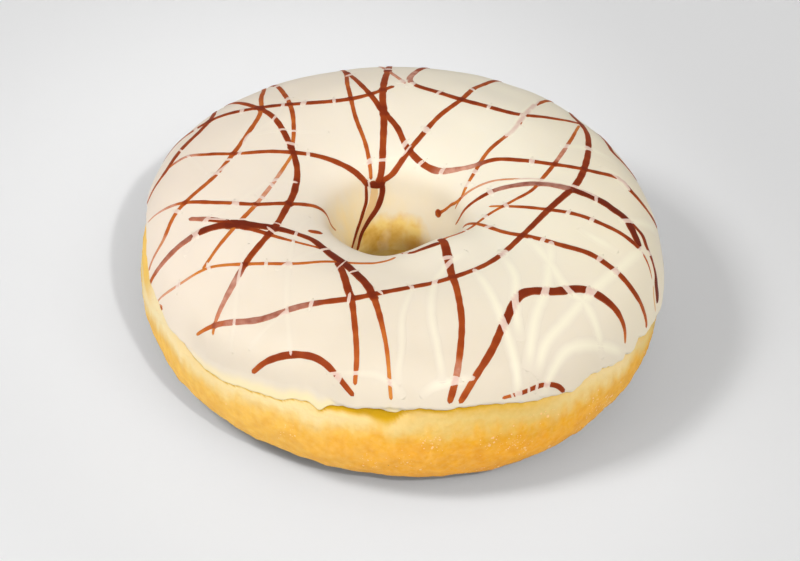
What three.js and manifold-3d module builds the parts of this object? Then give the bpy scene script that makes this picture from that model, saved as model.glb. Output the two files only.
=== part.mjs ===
// Iced ring doughnut: one ring of fried dough, with a pale icing over its top that runs into the hole,
// and thick brown drizzle set on the icing. Millimetres, +Z up, standing on its flat underside at z = 0.
import * as THREE from 'three';
import { ParametricGeometry } from 'three/addons/geometries/ParametricGeometry.js';
import { mergeVertices } from 'three/addons/utils/BufferGeometryUtils.js';
import Module from 'manifold-3d';

// Driving dimensions: the ring's section as [distance from the axis, height], from the crown
// outwards, under the ring and back up through the hole. Heights below zero are pressed flat.
const section = {
  crown: [26.5, 31.2],
  upperShoulder: [36.0, 29.6],
  shoulder: [43.8, 25.2],
  equator: [46.6, 14.8],
  heel: [44.4, 5.8],
  outerBase: [35.0, -0.4],
  innerBase: [19.0, -0.4],
  innerHeel: [12.0, 5.0],
  throat: [9.2, 13.5],
  funnel: [12.2, 23.0],
  lip: [15.2, 28.6],
};

// The ring is a little oval, swells unevenly round its outside, and its hole sits off centre.
const ovalShare = 0.028;
const ovalAngle = -55;
const swells = [
  { lobes: 3, height: 0.35, peak: 53 },
  { lobes: 4, height: 0.15, peak: -41 },
  { lobes: 5, height: 0.2, peak: -6 },
];
const swellFrom = 12;
const swellFull = 46;
const holeShift = [-0.8, -1.2];
const holeShiftFrom = 30;
const holeShiftFull = 12;
const ringAxis = [-0.28, 0.19];

// At the front right the ring bulges into its hole: how far, its middle and spread in degrees, its
// middle and spread along the section from the crown, and its lean above level in degrees.
const bulge = { height: 2.4, peak: -60, spread: 32, reach: -12, way: 6, lean: 51 };

// The icing: its top above the dough, the seat that keeps it clear of the dough, and its round edge.
// Down the hole it thins, from one way along the section to another.
const icingTop = 1.2;
const icingSeat = 0.25;
const icingNose = 1.0;
const icingThinning = 0.5;
const thinFrom = 14;
const thinFull = 26;

// The icing laid out flat: each point of the ring keeps its angle, and its distance from the middle
// is the crown's radius plus the way along the section, outwards from the crown or into the hole.
// The icing's outer edge in that layout, every 15 degrees from +X, and how far into the hole it runs,
// every 45 degrees.
const outerEdge = [
  54.0, 53.2, 52.2, 51.4, 52.2, 51.6, 50.6, 49.8, 51.0, 51.2, 49.8, 48.4,
  47.2, 48.2, 51.0, 53.6, 51.4, 49.8, 48.8, 48.7, 50.6, 51.0, 52.3, 54.3,
];
const holeDepth = [25, 21.5, 22, 26.5, 27, 24, 22, 23];

// Drizzle strokes on the icing laid out flat: width, then the points that each one runs through.
const drizzle = {
  frontArc: [1.0, [-28.7, -40.2], [-24, -39], [-18.4, -39.3], [-14, -41.3], [-9.3, -46.7]],
  longSweep: [1.2, [-37.9, -30.1], [-32.8, -30.5], [-25.2, -31.9], [-18, -30.5], [-8.8, -29.5],
    [-3.2, -27.8], [4.4, -25.4], [11.2, -22], [16, -18.6], [21.4, -11.6], [26.4, -4.4], [31.4, 3.2],
    [33.8, 11.6], [34.6, 19.6], [33.6, 25.2], [32.2, 29.4], [33, 34.5]],
  lipToFront: [1.15, [8.1, -12.4], [8.6, -14.2], [8.5, -18.4], [8.5, -22.4], [9, -26.8], [9.5, -34],
    [8.8, -41.2], [7.4, -47.4]],
  arch: [1.4, [9.2, -47.2], [11.2, -43.6], [14.4, -38.4], [16.8, -32.8], [20, -26.8], [26, -25],
    [31, -23.3], [36, -24.4], [39.6, -26.4], [41.3, -28.9]],
  lowArc: [0.8, [16.8, -45.4], [20.4, -43.9], [24, -41.9], [27, -41.3], [29.3, -41.9]],
  frontRun: [1.0, [-11.2, -19.5], [-10, -26], [-8.6, -32], [-8.4, -40], [-8.9, -45]],
  heavySweep: [1.5, [-47.2, -15.3], [-42.4, -14.3], [-38.4, -11.8], [-34.4, -10], [-29.6, -9.8],
    [-24.8, -10.6], [-19.6, -11], [-15.6, -12.2], [-13.4, -15], [-11.4, -19.2], [-8, -23.2], [-6, -28.8]],
  heavyStrand: [1.0, [-28.6, -10.2], [-22.8, -13], [-18, -14.2], [-14, -15]],
  leftStub: [1.1, [-37.4, -6], [-32.8, -7.8], [-28.6, -10.2]],
  leftRise: [0.9, [-46.2, -12.8], [-42.4, -9.6], [-39.4, -3.2], [-33.2, 3.2], [-29, 10.8], [-25.4, 19.2],
    [-24.4, 24], [-24.6, 29], [-24.4, 35], [-26, 41]],
  leftLong: [1.2, [-33.8, -31.8], [-31.2, -27.2], [-26.8, -19.2], [-22.6, -11.7], [-20, -4], [-18.2, 2.8],
    [-18, 9.2], [-20.8, 17.6], [-23.8, 23.2], [-28.4, 28.6], [-33, 33.4]],
  leftIntoHole: [0.95, [-45.4, -2], [-39.2, -1.4], [-32, -3.5], [-26, -4.4], [-20, -2.4], [-14, 0.2],
    [-10.7, 0.9], [-6.7, 1.6]],
  leftCross: [0.9, [-41.5, 11.2], [-37.8, 12.4], [-33.6, 11.2], [-28.4, 9.9], [-22, 11.1], [-15.2, 12.1],
    [-8.4, 11.5], [-2.6, 10.4]],
  leftFlank: [1.1, [-46.6, 5.2], [-42.4, 10], [-39.2, 15.6], [-35.6, 20.8], [-33.4, 26], [-33.8, 34]],
  backCross: [1.2, [-44.6, 18.6], [-38.4, 22], [-31.2, 24.5], [-24, 24.8], [-17.6, 25], [-10, 26.4],
    [-4.8, 28.2], [-0.2, 31]],
  backLeft: [0.9, [-26.6, 41.6], [-22.6, 36], [-20.4, 29.6], [-19, 23], [-18.6, 17], [-18.8, 12.4]],
  backThin: [0.85, [-11, 46], [-9.2, 39], [-8.8, 31.2], [-7.6, 23.2], [-5.2, 16.4], [-4, 11]],
  backRun: [1.3, [-0.4, 47.6], [-1.2, 39.2], [-2.4, 28.8], [-2, 20.8], [-2.1, 13.6], [-2.7, 10.2]],
  backToRight: [1.1, [-9.2, 39.4], [-6, 30.8], [-2.8, 24.8], [0.4, 20.4], [2.8, 15.6], [7.6, 11.6],
    [13.2, 10.3], [18, 10.8], [22.8, 9.7], [28, 8.2], [34, 8.1], [39.4, 8.5], [42, 6], [45.4, 3.6],
    [49.6, 4.6]],
  holeToBack: [1.0, [-2.4, 10.8], [0.4, 12.8], [4.4, 17.6], [7.8, 22.4], [11.6, 26.4], [14.4, 31.6],
    [17.6, 36.4], [21.6, 42.6]],
  backHook: [1.2, [8.6, 47.4], [5.4, 41], [2.7, 33], [7.6, 29], [14.4, 25.4], [21.6, 22.7], [27.2, 23.5],
    [33.8, 25.2]],
  backStub: [0.8, [-2.8, 43], [-0.2, 36], [1.8, 31.8]],
  rightRise: [0.8, [31.4, 38.4], [26.8, 30.6], [24, 25.6], [21.2, 18.4], [16.8, 13.2], [14.4, 8.8],
    [12.2, 4.8]],
  rightHeavy: [1.4, [8.2, 2.2], [13.2, 2], [18.4, 3.4], [24, 3.2], [30, 1.5], [35.6, 0.1], [39.4, -2.8],
    [42.4, -6.5], [45, -9.2], [48.4, -13.6]],
  rightLine: [0.9, [16.6, -0.7], [22, -3], [26.8, -4.8], [32.8, -5.8], [38, -7.4], [42.2, -9.6]],
  rightLong: [1.05, [12, -2.8], [14.5, -5.9], [18.1, -9.6], [21.4, -11.6], [26.8, -13.9], [33.2, -14.8],
    [39.6, -19], [46.6, -21.6]],
  spot: [1.6, [-15.4, -9.5], [-14, -8.5]],
  backFlank: [1.0, [36.4, 30.6], [38.6, 21.5], [39.8, 17.8], [44.6, 14.4]],
  hiddenArc: [1.1, [27.4, 41.4], [21, 40.6], [13.6, 43], [7, 47.6]],
  hiddenLoop: [1.0, [-42.6, 25.6], [-36.4, 33.6], [-29.4, 39], [-18.6, 41.4], [-13, 46.6]],
};

// Two runs of drizzle down the hole's wall: width, then [degrees from +X, way into the hole].
const holeRuns = {
  runRight: [0.95, [101, 15], [101, 17], [106, 19.2], [112, 21.2], [121, 22.6], [138, 25]],
  runLeft: [0.8, [116, 15.6], [116, 18], [120, 19.4], [126, 21.2], [134, 23], [144, 25]],
};

// A stroke's section: how high it stands and how wide its top is for its width, how deep its root
// goes into the icing, the length of its steps, and the length of its drawn-out tips in widths.
const strokeRise = 0.32;
const strokeTopShare = 0.62;
const strokeRoot = 0.4;
const strokeStep = 4.6;
const tipWidths = 0.8;
const tipMostShare = 0.2;

// Facets of the ring and the icing. Rows stand closer where the section bends: a radian of bend
// counts as this much extra way along it.
const ringColumns = 56;
const ringRows = 28;
const icingRowsTop = 12;
const icingRowsUnder = 12;
const noseSteps = 2;
const bendWay = 8;
const gaugeSteps = 720;
const sectionSamples = 2200;
const splineTension = 0.5;
const seamTolerance = 1e-4;

const wasm = await Module();
wasm.setup();

const { clamp, degToRad, euclideanModulo, lerp, smoothstep } = THREE.MathUtils;
const fullTurn = Math.PI * 2;
const crownRadius = section.crown[0];

const sectionCurve = new THREE.CatmullRomCurve3(
  Object.values(section).map(([radius, height]) => new THREE.Vector3(radius, 0, height)),
  true,
  'catmullrom',
  splineTension,
);
sectionCurve.arcLengthDivisions = sectionSamples;
const sectionLength = sectionCurve.getLength();

// Radius and height of the section at a way along it from the crown, outwards positive.
function sectionAt(reach) {
  const point = sectionCurve.getPointAt(euclideanModulo(reach / sectionLength, 1));
  return [point.x, Math.max(point.z, 0)];
}

// Way along the section with its bends counted in, at equal small steps from the crown.
const gauge = [0];
for (let i = 1; i <= gaugeSteps; i += 1) {
  const before = sectionCurve.getTangentAt((i - 1) / gaugeSteps);
  const after = sectionCurve.getTangentAt((i % gaugeSteps) / gaugeSteps);
  gauge.push(gauge[i - 1] + sectionLength / gaugeSteps + bendWay * before.angleTo(after));
}

function gaugeAt(reach) {
  const turns = Math.floor(reach / sectionLength);
  const place = (reach / sectionLength - turns) * gaugeSteps;
  const step = Math.min(Math.floor(place), gaugeSteps - 1);
  return turns * gauge[gaugeSteps] + lerp(gauge[step], gauge[step + 1], place - step);
}

function reachAt(measure) {
  const turns = Math.floor(measure / gauge[gaugeSteps]);
  const rest = measure - turns * gauge[gaugeSteps];
  const step = Math.max(gauge.findIndex((value) => value > rest) - 1, 0);
  const share = (rest - gauge[step]) / (gauge[step + 1] - gauge[step]);
  return (turns + (step + share) / gaugeSteps) * sectionLength;
}

// Rows between two places on the section
function rowsBetween(from, to, count) {
  return Array.from({ length: count + 1 }, (_, i) => reachAt(lerp(gaugeAt(from), gaugeAt(to), i / count)));
}

// Place of a radius and angle in the oval, uneven plan with its hole off centre.
function planAt(radius, angle) {
  const swell = swells.reduce(
    (sum, { lobes, height, peak }) => sum + height * Math.cos(lobes * (angle - degToRad(peak))),
    0,
  );
  const swollen = radius + swell * clamp((radius - swellFrom) / (swellFull - swellFrom), 0, 1);
  const long = swollen * Math.cos(angle - degToRad(ovalAngle)) * (1 + ovalShare);
  const across = swollen * Math.sin(angle - degToRad(ovalAngle)) * (1 - ovalShare);
  const turnCos = Math.cos(degToRad(ovalAngle));
  const turnSin = Math.sin(degToRad(ovalAngle));
  const shift = 1 - smoothstep(radius, holeShiftFull, holeShiftFrom);
  return [
    long * turnCos - across * turnSin + holeShift[0] * shift,
    long * turnSin + across * turnCos + holeShift[1] * shift,
  ];
}

// How far the bulge stands out at a place
function bulgeAt(angle, reach) {
  const turn = euclideanModulo(angle - degToRad(bulge.peak) + Math.PI, fullTurn) - Math.PI;
  const way = euclideanModulo(reach - bulge.reach + sectionLength / 2, sectionLength) - sectionLength / 2;
  return bulge.height * Math.exp(-((turn / degToRad(bulge.spread)) ** 2) - (way / bulge.way) ** 2);
}

// Point on the dough
function doughPoint(angle, reach) {
  const [radius, height] = sectionAt(reach);
  const [x, y] = planAt(radius, angle);
  const rise = bulgeAt(angle, reach);
  const inwards = rise * Math.cos(degToRad(bulge.lean));
  return new THREE.Vector3(
    x - inwards * Math.cos(angle),
    y - inwards * Math.sin(angle),
    height + rise * Math.sin(degToRad(bulge.lean)),
  );
}

// Outward direction of the dough, from two small steps on it
function doughNormal(angle, reach) {
  const step = 0.05;
  const turn = 0.002;
  const along = doughPoint(angle, reach + step).sub(doughPoint(angle, reach - step));
  const around = doughPoint(angle + turn, reach).sub(doughPoint(angle - turn, reach));
  return along.cross(around).normalize();
}

// Point at a height above the dough
function pointAbove(angle, reach, height) {
  return doughPoint(angle, reach).addScaledVector(doughNormal(angle, reach), height);
}

// Value at an angle of a list that goes round the ring in equal steps
function roundList(values) {
  const curve = new THREE.CatmullRomCurve3(
    values.map((value) => new THREE.Vector3(value, 0, 0)),
    true,
    'catmullrom',
    splineTension,
  );
  return (angle) => curve.getPoint(euclideanModulo(angle / fullTurn, 1)).x;
}
const outerEdgeAt = roundList(outerEdge);
const holeDepthAt = roundList(holeDepth);

// Parametric surface with its seams joined and its collapsed triangles dropped
function closedSurface(place, slices, stacks) {
  const sheet = new ParametricGeometry(
    (u, v, target) => target.copy(place(u, v)),
    slices,
    stacks,
  );
  sheet.deleteAttribute('normal');
  sheet.deleteAttribute('uv');
  const surface = mergeVertices(sheet, seamTolerance);
  const corners = Array.from(surface.index.array);
  const kept = [];
  for (let i = 0; i < corners.length; i += 3) {
    const [a, b, c] = corners.slice(i, i + 3);
    if (a !== b && b !== c && c !== a) kept.push(a, b, c);
  }
  surface.setIndex(kept);
  return surface;
}

function toSolid(geometry) {
  return new wasm.Manifold(new wasm.Mesh({
    numProp: 3,
    vertProperties: Float32Array.from(geometry.attributes.position.array),
    triVerts: Uint32Array.from(geometry.index.array),
  }));
}

function toGeometry(solid) {
  const { vertProperties, triVerts } = solid.getMesh();
  const geometry = new THREE.BufferGeometry();
  geometry.setAttribute('position', new THREE.BufferAttribute(vertProperties, 3));
  geometry.setIndex(new THREE.BufferAttribute(triVerts, 1));
  return geometry;
}

// The dough: rows along the section, columns round the ring
function makeDough() {
  const rows = rowsBetween(0, sectionLength, ringRows);
  return closedSurface(
    (u, v) => doughPoint(v * fullTurn, rows[Math.round(u * ringRows) % ringRows]),
    ringRows,
    ringColumns,
  );
}

// Height of the icing's top above the dough
function icingTopAt(reach) {
  return icingTop - icingThinning * smoothstep(-reach, thinFrom, thinFull);
}

// The icing's own closed section at an angle, as [way along the section, height above the dough]:
// over the top from the hole to the outside, round the edge, and back underneath.
function icingSection(angle) {
  const outer = outerEdgeAt(angle) - crownRadius;
  const inner = -holeDepthAt(angle);
  const top = rowsBetween(inner + icingNose, outer - icingNose, icingRowsTop);
  const under = rowsBetween(inner, outer, icingRowsUnder).reverse();
  const stations = top.map((reach) => [reach, icingTopAt(reach)]);
  for (let i = 1; i < noseSteps; i += 1) {
    const bend = (i / noseSteps) * Math.PI / 2;
    const rise = icingTopAt(outer) - icingSeat;
    stations.push([outer - icingNose * (1 - Math.sin(bend)), icingSeat + rise * Math.cos(bend)]);
  }
  stations.push(...under.map((reach) => [reach, icingSeat]));
  for (let i = noseSteps - 1; i > 0; i -= 1) {
    const bend = (i / noseSteps) * Math.PI / 2;
    const rise = icingTopAt(inner) - icingSeat;
    stations.push([inner + icingNose * (1 - Math.sin(bend)), icingSeat + rise * Math.cos(bend)]);
  }
  return stations;
}

function makeIcing() {
  const count = icingSection(0).length;
  return closedSurface(
    (u, v) => {
      const angle = v * fullTurn;
      const stations = icingSection(angle);
      const [reach, height] = stations[Math.round(u * count) % count];
      return pointAbove(angle, reach, height);
    },
    count,
    ringColumns,
  );
}

// A stroke of drizzle: a low rounded strand on the icing, drawn to a point at both ends.
// place(t) gives the angle and the way along the section at a share t of its length.
function makeStroke(width, length, place) {
  const body = Math.max(2, Math.round(length / strokeStep));
  const tipShare = Math.min(tipMostShare, (tipWidths * width) / length);
  const stationShare = (i) => {
    if (i === 0) return 0;
    if (i === body + 2) return 1;
    return lerp(tipShare, 1 - tipShare, (i - 1) / body);
  };
  const stations = [];
  for (let i = 0; i <= body + 2; i += 1) {
    const [angle, reach] = place(stationShare(i));
    const tip = i === 0 || i === body + 2;
    stations.push({
      centre: pointAbove(angle, reach, icingTopAt(reach)),
      up: doughNormal(angle, reach),
      size: tip ? 0 : 1,
    });
  }
  const sideways = stations.map(({ up }, i) => {
    const before = stations[Math.max(i - 1, 0)].centre;
    const after = stations[Math.min(i + 1, stations.length - 1)].centre;
    return after.clone().sub(before).cross(up).normalize();
  });
  const half = width / 2;
  const corners = [
    [half, -strokeRoot],
    [half * strokeTopShare, width * strokeRise],
    [-half * strokeTopShare, width * strokeRise],
    [-half, -strokeRoot],
  ];
  return closedSurface(
    (u, v) => {
      const i = Math.round(u * (body + 2));
      const { centre, up, size } = stations[i];
      const [side, rise] = corners[Math.round(v * corners.length) % corners.length];
      return centre.clone()
        .addScaledVector(sideways[i], side * size)
        .addScaledVector(up, rise * size);
    },
    body + 2,
    corners.length,
  );
}

// Stroke through points of the flat layout
function flatStroke([width, ...points]) {
  const path = new THREE.CatmullRomCurve3(
    points.map(([x, y]) => new THREE.Vector3(x, y, 0)),
    false,
    'catmullrom',
    splineTension,
  );
  return makeStroke(width, path.getLength(), (t) => {
    const { x, y } = path.getPointAt(t);
    return [Math.atan2(y, x), Math.hypot(x, y) - crownRadius];
  });
}

// Stroke down the hole's wall
function holeStroke([width, ...points]) {
  const path = new THREE.CatmullRomCurve3(
    points.map(([degrees, depth]) => new THREE.Vector3(degToRad(degrees), -depth, 0)),
    false,
    'catmullrom',
    splineTension,
  );
  const first = doughPoint(degToRad(points[0][0]), -points[0][1]);
  const last = doughPoint(degToRad(points.at(-1)[0]), -points.at(-1)[1]);
  return makeStroke(width, first.distanceTo(last), (t) => {
    const { x, y } = path.getPoint(t);
    return [x, y];
  });
}

// Iced top with its drizzle set fast on it
function makeIcedTop() {
  const strokes = [
    ...Object.values(drizzle).map(flatStroke),
    ...Object.values(holeRuns).map(holeStroke),
  ];
  const solid = strokes.reduce((top, stroke) => top.add(toSolid(stroke)), toSolid(makeIcing()));
  return toGeometry(solid);
}

const dough = new THREE.Mesh(
  makeDough(),
  new THREE.MeshStandardMaterial({ color: 0xe3b054, roughness: 0.7, metalness: 0 }),
);
dough.name = 'dough';

const icing = new THREE.Mesh(
  makeIcedTop(),
  new THREE.MeshStandardMaterial({ color: 0xf4ead6, roughness: 0.4, metalness: 0 }),
);
icing.name = 'icing';

const doughnut = new THREE.Group();
doughnut.add(dough, icing);
doughnut.position.set(ringAxis[0], ringAxis[1], 0);

export default doughnut;
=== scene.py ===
import math

import bpy
import numpy as np
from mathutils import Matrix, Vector


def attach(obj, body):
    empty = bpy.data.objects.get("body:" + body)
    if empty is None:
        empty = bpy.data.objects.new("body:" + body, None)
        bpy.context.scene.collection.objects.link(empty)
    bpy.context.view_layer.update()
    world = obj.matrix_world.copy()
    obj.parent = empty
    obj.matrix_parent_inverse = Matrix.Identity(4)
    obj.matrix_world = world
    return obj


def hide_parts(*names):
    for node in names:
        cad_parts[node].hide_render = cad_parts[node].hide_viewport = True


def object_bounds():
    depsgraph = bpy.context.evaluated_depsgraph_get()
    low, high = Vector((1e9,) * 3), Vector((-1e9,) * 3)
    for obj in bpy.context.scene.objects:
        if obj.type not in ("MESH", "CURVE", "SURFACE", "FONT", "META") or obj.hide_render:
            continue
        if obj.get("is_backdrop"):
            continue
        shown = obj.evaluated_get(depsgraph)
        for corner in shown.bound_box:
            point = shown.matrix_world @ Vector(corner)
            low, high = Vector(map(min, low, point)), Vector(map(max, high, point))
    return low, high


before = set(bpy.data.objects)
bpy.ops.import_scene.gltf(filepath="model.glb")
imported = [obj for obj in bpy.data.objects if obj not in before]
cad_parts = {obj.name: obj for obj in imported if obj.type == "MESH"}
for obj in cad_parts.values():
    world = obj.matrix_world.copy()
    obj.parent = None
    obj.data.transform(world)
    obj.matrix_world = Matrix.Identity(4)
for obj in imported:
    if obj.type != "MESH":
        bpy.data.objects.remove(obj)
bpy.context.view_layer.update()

# The ring of dough: soft yeast dough, proved and fried one side after the other, so that a pale belt stays
# round its waist while the base turns golden. It is one piece, lies flat on its underside and carries the
# icing. Lengths are millimetres until a mesh is made.
millimetre = 0.001
full_turn = 2 * math.pi

# Section as (distance from the axis, height), from the crown outwards, under the ring and up the hole
ring_section = {
    "crown": (26.5, 31.2),
    "upper_shoulder": (36.0, 29.6),
    "shoulder": (43.8, 25.2),
    "equator": (46.6, 14.8),
    "heel": (44.4, 5.8),
    "outer_base": (35.0, -0.4),
    "inner_base": (19.0, -0.4),
    "inner_heel": (12.0, 5.0),
    "throat": (9.2, 13.5),
    "funnel": (12.2, 23.0),
    "lip": (15.2, 28.6),
}
crown_radius = ring_section["crown"][0]

# Its plan is a little oval and swells unevenly, as (lobes round the ring, height, degrees of a peak), and
# its hole sits off centre
oval_share = 0.028
oval_angle = math.radians(-55)
swells = [(3, 0.35, 53), (4, 0.15, -41), (5, 0.2, -6)]
swell_from = 12
swell_full = 46
hole_shift = (-0.8, -1.2)
hole_shift_full = 12
hole_shift_from = 30
ring_axis = (-0.28, 0.19)

# At the front right the ring bulges into its hole: how far, its middle and spread in degrees, its middle and
# spread along the section from the crown, and its lean above level
bulge_height = 2.4
bulge_angle = (-60, 32)
bulge_reach = (-12, 6)
bulge_lean = math.radians(51)

# Where the icing ends, measured from the middle along the surface: outside every 15 degrees from +X, and
# how far into the hole every 30 degrees. Ripples are (waves round the ring, height), bumps and nicks are
# (degrees, spread in degrees, way outwards), and the rim is more ragged at (degrees, spread in degrees,
# share that its ripples grow by).
icing_outer_edge = [
    54.5, 53.7, 52.7, 51.9, 52.7, 52.1, 51.1, 50.3, 51.5, 51.7, 50.3, 48.8,
    47.6, 48.6, 51.4, 54.0, 51.9, 50.3, 49.3, 49.2, 51.1, 51.6, 52.8, 54.8,
]
icing_hole_depth = [29, 29.5, 29.5, 29.5, 29.5, 29, 27.5, 25, 23, 22, 22.5, 25]
rim_ripples = [(17, 0.10), (26, 0.10), (37, 0.09), (58, 0.06), (89, 0.05), (131, 0.035), (173, 0.03)]
rim_rag = (322, 16, 1.2)
rim_bumps = [
    (242.2, 2.2, 0.7), (250.8, 1.6, 1.3), (267.5, 1.8, 0.5), (307.5, 3.0, 0.4), (327, 6.0, 1.0),
    (331.3, 1.0, -0.7), (325.2, 1.2, -0.6), (316, 1.5, -0.3), (296, 1.2, -0.25), (35, 3, 0.5),
    (120, 4, 0.6), (182, 10, -1.1),
]

curve_samples = 200
lump_waves = 24
lump_stretch = (0.6, 1.5)
ripple_seed = 5
least_length = 1e-6


def ease(value, start, end):
    """Soft step from 0 at start to 1 at end"""
    share = np.clip((value - start) / (end - start), 0, 1)
    return share * share * (3 - 2 * share)


def hump(angle, middle, spread):
    """Rounded rise about an angle given in degrees"""
    away = np.angle(np.exp(1j * (angle - math.radians(middle))))
    return np.exp(-((away / math.radians(spread)) ** 2))


def humps_at(angle, places):
    """Sum at an angle of rises, each given as its middle and spread in degrees and its height"""
    return sum(height * hump(angle, middle, spread) for middle, spread, height in places)


def smooth_curve(points, closed=False):
    """Fine Catmull-Rom line, which bends evenly from each point to the next"""
    points = np.asarray(points, float)
    if closed:
        held = np.vstack([points[-1:], points, points[:2]])
    else:
        held = np.vstack([2 * points[0] - points[1], points, 2 * points[-1] - points[-2]])
    share = np.linspace(0, 1, curve_samples, endpoint=False)[None, :, None]
    a, b, c, d = (held[i : len(held) - 3 + i, None, :] for i in range(4))
    line = 2 * b + (c - a) * share
    line = line + (2 * a - 5 * b + 4 * c - d) * share**2
    line = line + (3 * b - a - 3 * c + d) * share**3
    return np.vstack([0.5 * line.reshape(-1, points.shape[1]), held[-2:-1]])


def way_along(line):
    """Length of a line up to each of its points"""
    return np.concatenate([[0], np.cumsum(np.linalg.norm(np.diff(line, axis=0), axis=1))])


def round_list(values):
    """Value at an angle of a list that goes round the ring in equal steps"""
    line = smooth_curve([[value] for value in values], closed=True)[:, 0]
    angles = np.linspace(0, full_turn, len(line))
    return lambda angle: np.interp(np.mod(angle, full_turn), angles, line)


def lumps(points, size, seed):
    """Smooth unevenness of about one unit, its lumps about that size"""
    draw = np.random.default_rng(seed)
    ways = draw.normal(size=(lump_waves, 3))
    ways *= draw.uniform(*lump_stretch, (lump_waves, 1)) / np.linalg.norm(ways, axis=1, keepdims=True)
    phases = draw.uniform(0, full_turn, lump_waves)
    return np.cos(points @ ways.T * full_turn / size + phases).sum(-1) * math.sqrt(2 / lump_waves)


section_line = smooth_curve(list(ring_section.values()), closed=True)
section_way = way_along(section_line)
section_length = section_way[-1]
outer_edge_list = round_list(icing_outer_edge)
hole_depth_at = round_list(icing_hole_depth)
ripple_phases = np.random.default_rng(ripple_seed).uniform(0, full_turn, len(rim_ripples))


def outer_edge_at(angle):
    """Way along the section at which the icing ends outside, with its bumps, nicks and small ripples"""
    edge = outer_edge_list(angle) - crown_radius
    rag = rim_rag[2] * hump(angle, rim_rag[0], rim_rag[1])
    for (count, height), phase in zip(rim_ripples, ripple_phases):
        edge = edge + height * (1 + rag) * np.cos(count * angle + phase)
    return edge + humps_at(angle, rim_bumps)


def section_at(reach):
    """Radius and height of the section at a way along it from the crown, outwards positive"""
    way = np.mod(reach, section_length)
    radius = np.interp(way, section_way, section_line[:, 0])
    return radius, np.maximum(np.interp(way, section_way, section_line[:, 1]), 0)


def dough_point(angle, reach):
    """Point of the plain ring, oval and uneven, with its hole off centre and bulged in at one side"""
    radius, height = section_at(reach)
    swell = sum(rise * np.cos(lobes * (angle - math.radians(peak))) for lobes, rise, peak in swells)
    swollen = radius + swell * np.clip((radius - swell_from) / (swell_full - swell_from), 0, 1)
    along = swollen * np.cos(angle - oval_angle) * (1 + oval_share)
    across = swollen * np.sin(angle - oval_angle) * (1 - oval_share)
    shift = 1 - ease(radius, hole_shift_full, hole_shift_from)
    x = along * math.cos(oval_angle) - across * math.sin(oval_angle)
    y = along * math.sin(oval_angle) + across * math.cos(oval_angle)
    way = np.mod(reach - bulge_reach[0] + section_length / 2, section_length) - section_length / 2
    rise = bulge_height * hump(angle, *bulge_angle) * np.exp(-((way / bulge_reach[1]) ** 2))
    inwards = rise * math.cos(bulge_lean)
    x = x + hole_shift[0] * shift + ring_axis[0] - inwards * np.cos(angle)
    y = y + hole_shift[1] * shift + ring_axis[1] - inwards * np.sin(angle)
    return np.stack([x, y, height + rise * math.sin(bulge_lean)], -1)


def dough_normal(angle, reach):
    """Outward direction of the plain ring"""
    step = 0.15
    turn = 0.004
    along = dough_point(angle, reach + step) - dough_point(angle, reach - step)
    around = dough_point(angle + turn, reach) - dough_point(angle - turn, reach)
    outward = np.cross(along, around)
    return outward / np.maximum(np.linalg.norm(outward, axis=-1, keepdims=True), least_length)


def point_above(angle, reach, height):
    """Point at a height above the plain ring"""
    return dough_point(angle, reach) + dough_normal(angle, reach) * np.asarray(height)[..., None]


# Soft swells in the whole ring, which the icing follows, and the finer skin of the bare crust. Both fade in
# over heights above the table, and the skin over a way below the icing's edge.
soft_swell = 0.08
soft_swell_size = 19
soft_swell_seed = 11
soft_swell_above = (0.5, 8)
skin_swell = 0.06
skin_swell_size = 5.5
skin_swell_seed = 21
skin_grain = 0.03
skin_grain_size = 1.3
skin_grain_seed = 22
skin_above = (0.3, 4)
skin_below_edge = (-1.0, 1.5)


def ring_swell(angle, reach):
    """Height of the soft swells, none on the flat underside"""
    point = dough_point(angle, reach)
    swell = soft_swell * lumps(point, soft_swell_size, soft_swell_seed)
    return swell * ease(point[..., 2], *soft_swell_above)


# The hollow under the icing's edge, where the crust draws back: its depth and the ends of its fade as shares
# of its height, its height all round and where it grows taller, and how far it goes on under the icing
hollow_depth_share = 0.3
hollow_fade = (0.3, 1.4)
hollow_under_icing = 6
hollow_all_round = 0.25
hollow_humps = [(-95.0, 3.2, 3.0), (-101, 3.6, 1.2), (-106, 2.6, 0.8), (-86, 4.0, 0.5), (-77, 5.0, 0.5)]


def hollow_height(angle):
    """Height of the hollow under the icing at an angle"""
    return hollow_all_round + humps_at(angle, hollow_humps)


def below_outer_edge(angle, reach):
    """Way below the icing's outer edge"""
    return np.mod(reach, section_length) - outer_edge_at(angle)


def below_hole_edge(angle, reach):
    """Way below the icing's edge in the hole"""
    return section_length - np.mod(reach, section_length) - hole_depth_at(angle)


def hollow_share(angle, reach):
    """How far inside the hollow a place is, 1 right under the icing's edge"""
    tall = hollow_height(angle)
    below = below_outer_edge(angle, reach)
    fade_from, fade_to = hollow_fade
    return (1 - ease(below, fade_from * tall, fade_to * tall)) * (below > -hollow_under_icing)


def crust_height(angle, reach):
    """Height of the crust's skin above the plain ring"""
    plain = dough_point(angle, reach)
    below = np.minimum(below_outer_edge(angle, reach), below_hole_edge(angle, reach))
    bare = ease(below, *skin_below_edge) * ease(plain[..., 2], *skin_above)
    height = ring_swell(angle, reach)
    height = height + bare * skin_swell * lumps(plain, skin_swell_size, skin_swell_seed)
    height = height + bare * skin_grain * lumps(plain, skin_grain_size, skin_grain_seed)
    return height - hollow_depth_share * hollow_height(angle) * hollow_share(angle, reach)


# Rows along the section lie close together where the crust is bare: bands are (from, to, rows)
dough_columns = 540
under_icing = 19
row_bands = [(-under_icing, 18, 34), (18, 47, 88), (47, 66, 22), (66, section_length - under_icing, 34)]
dough_rows = np.concatenate([np.linspace(*band, endpoint=False) for band in row_bands])


def ring_sheet(angles, rows):
    """Angle and reach of every place in a sheet of columns round the ring"""
    return np.broadcast_arrays(angles[:, None], rows if rows.ndim == 2 else rows[None, :])


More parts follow.
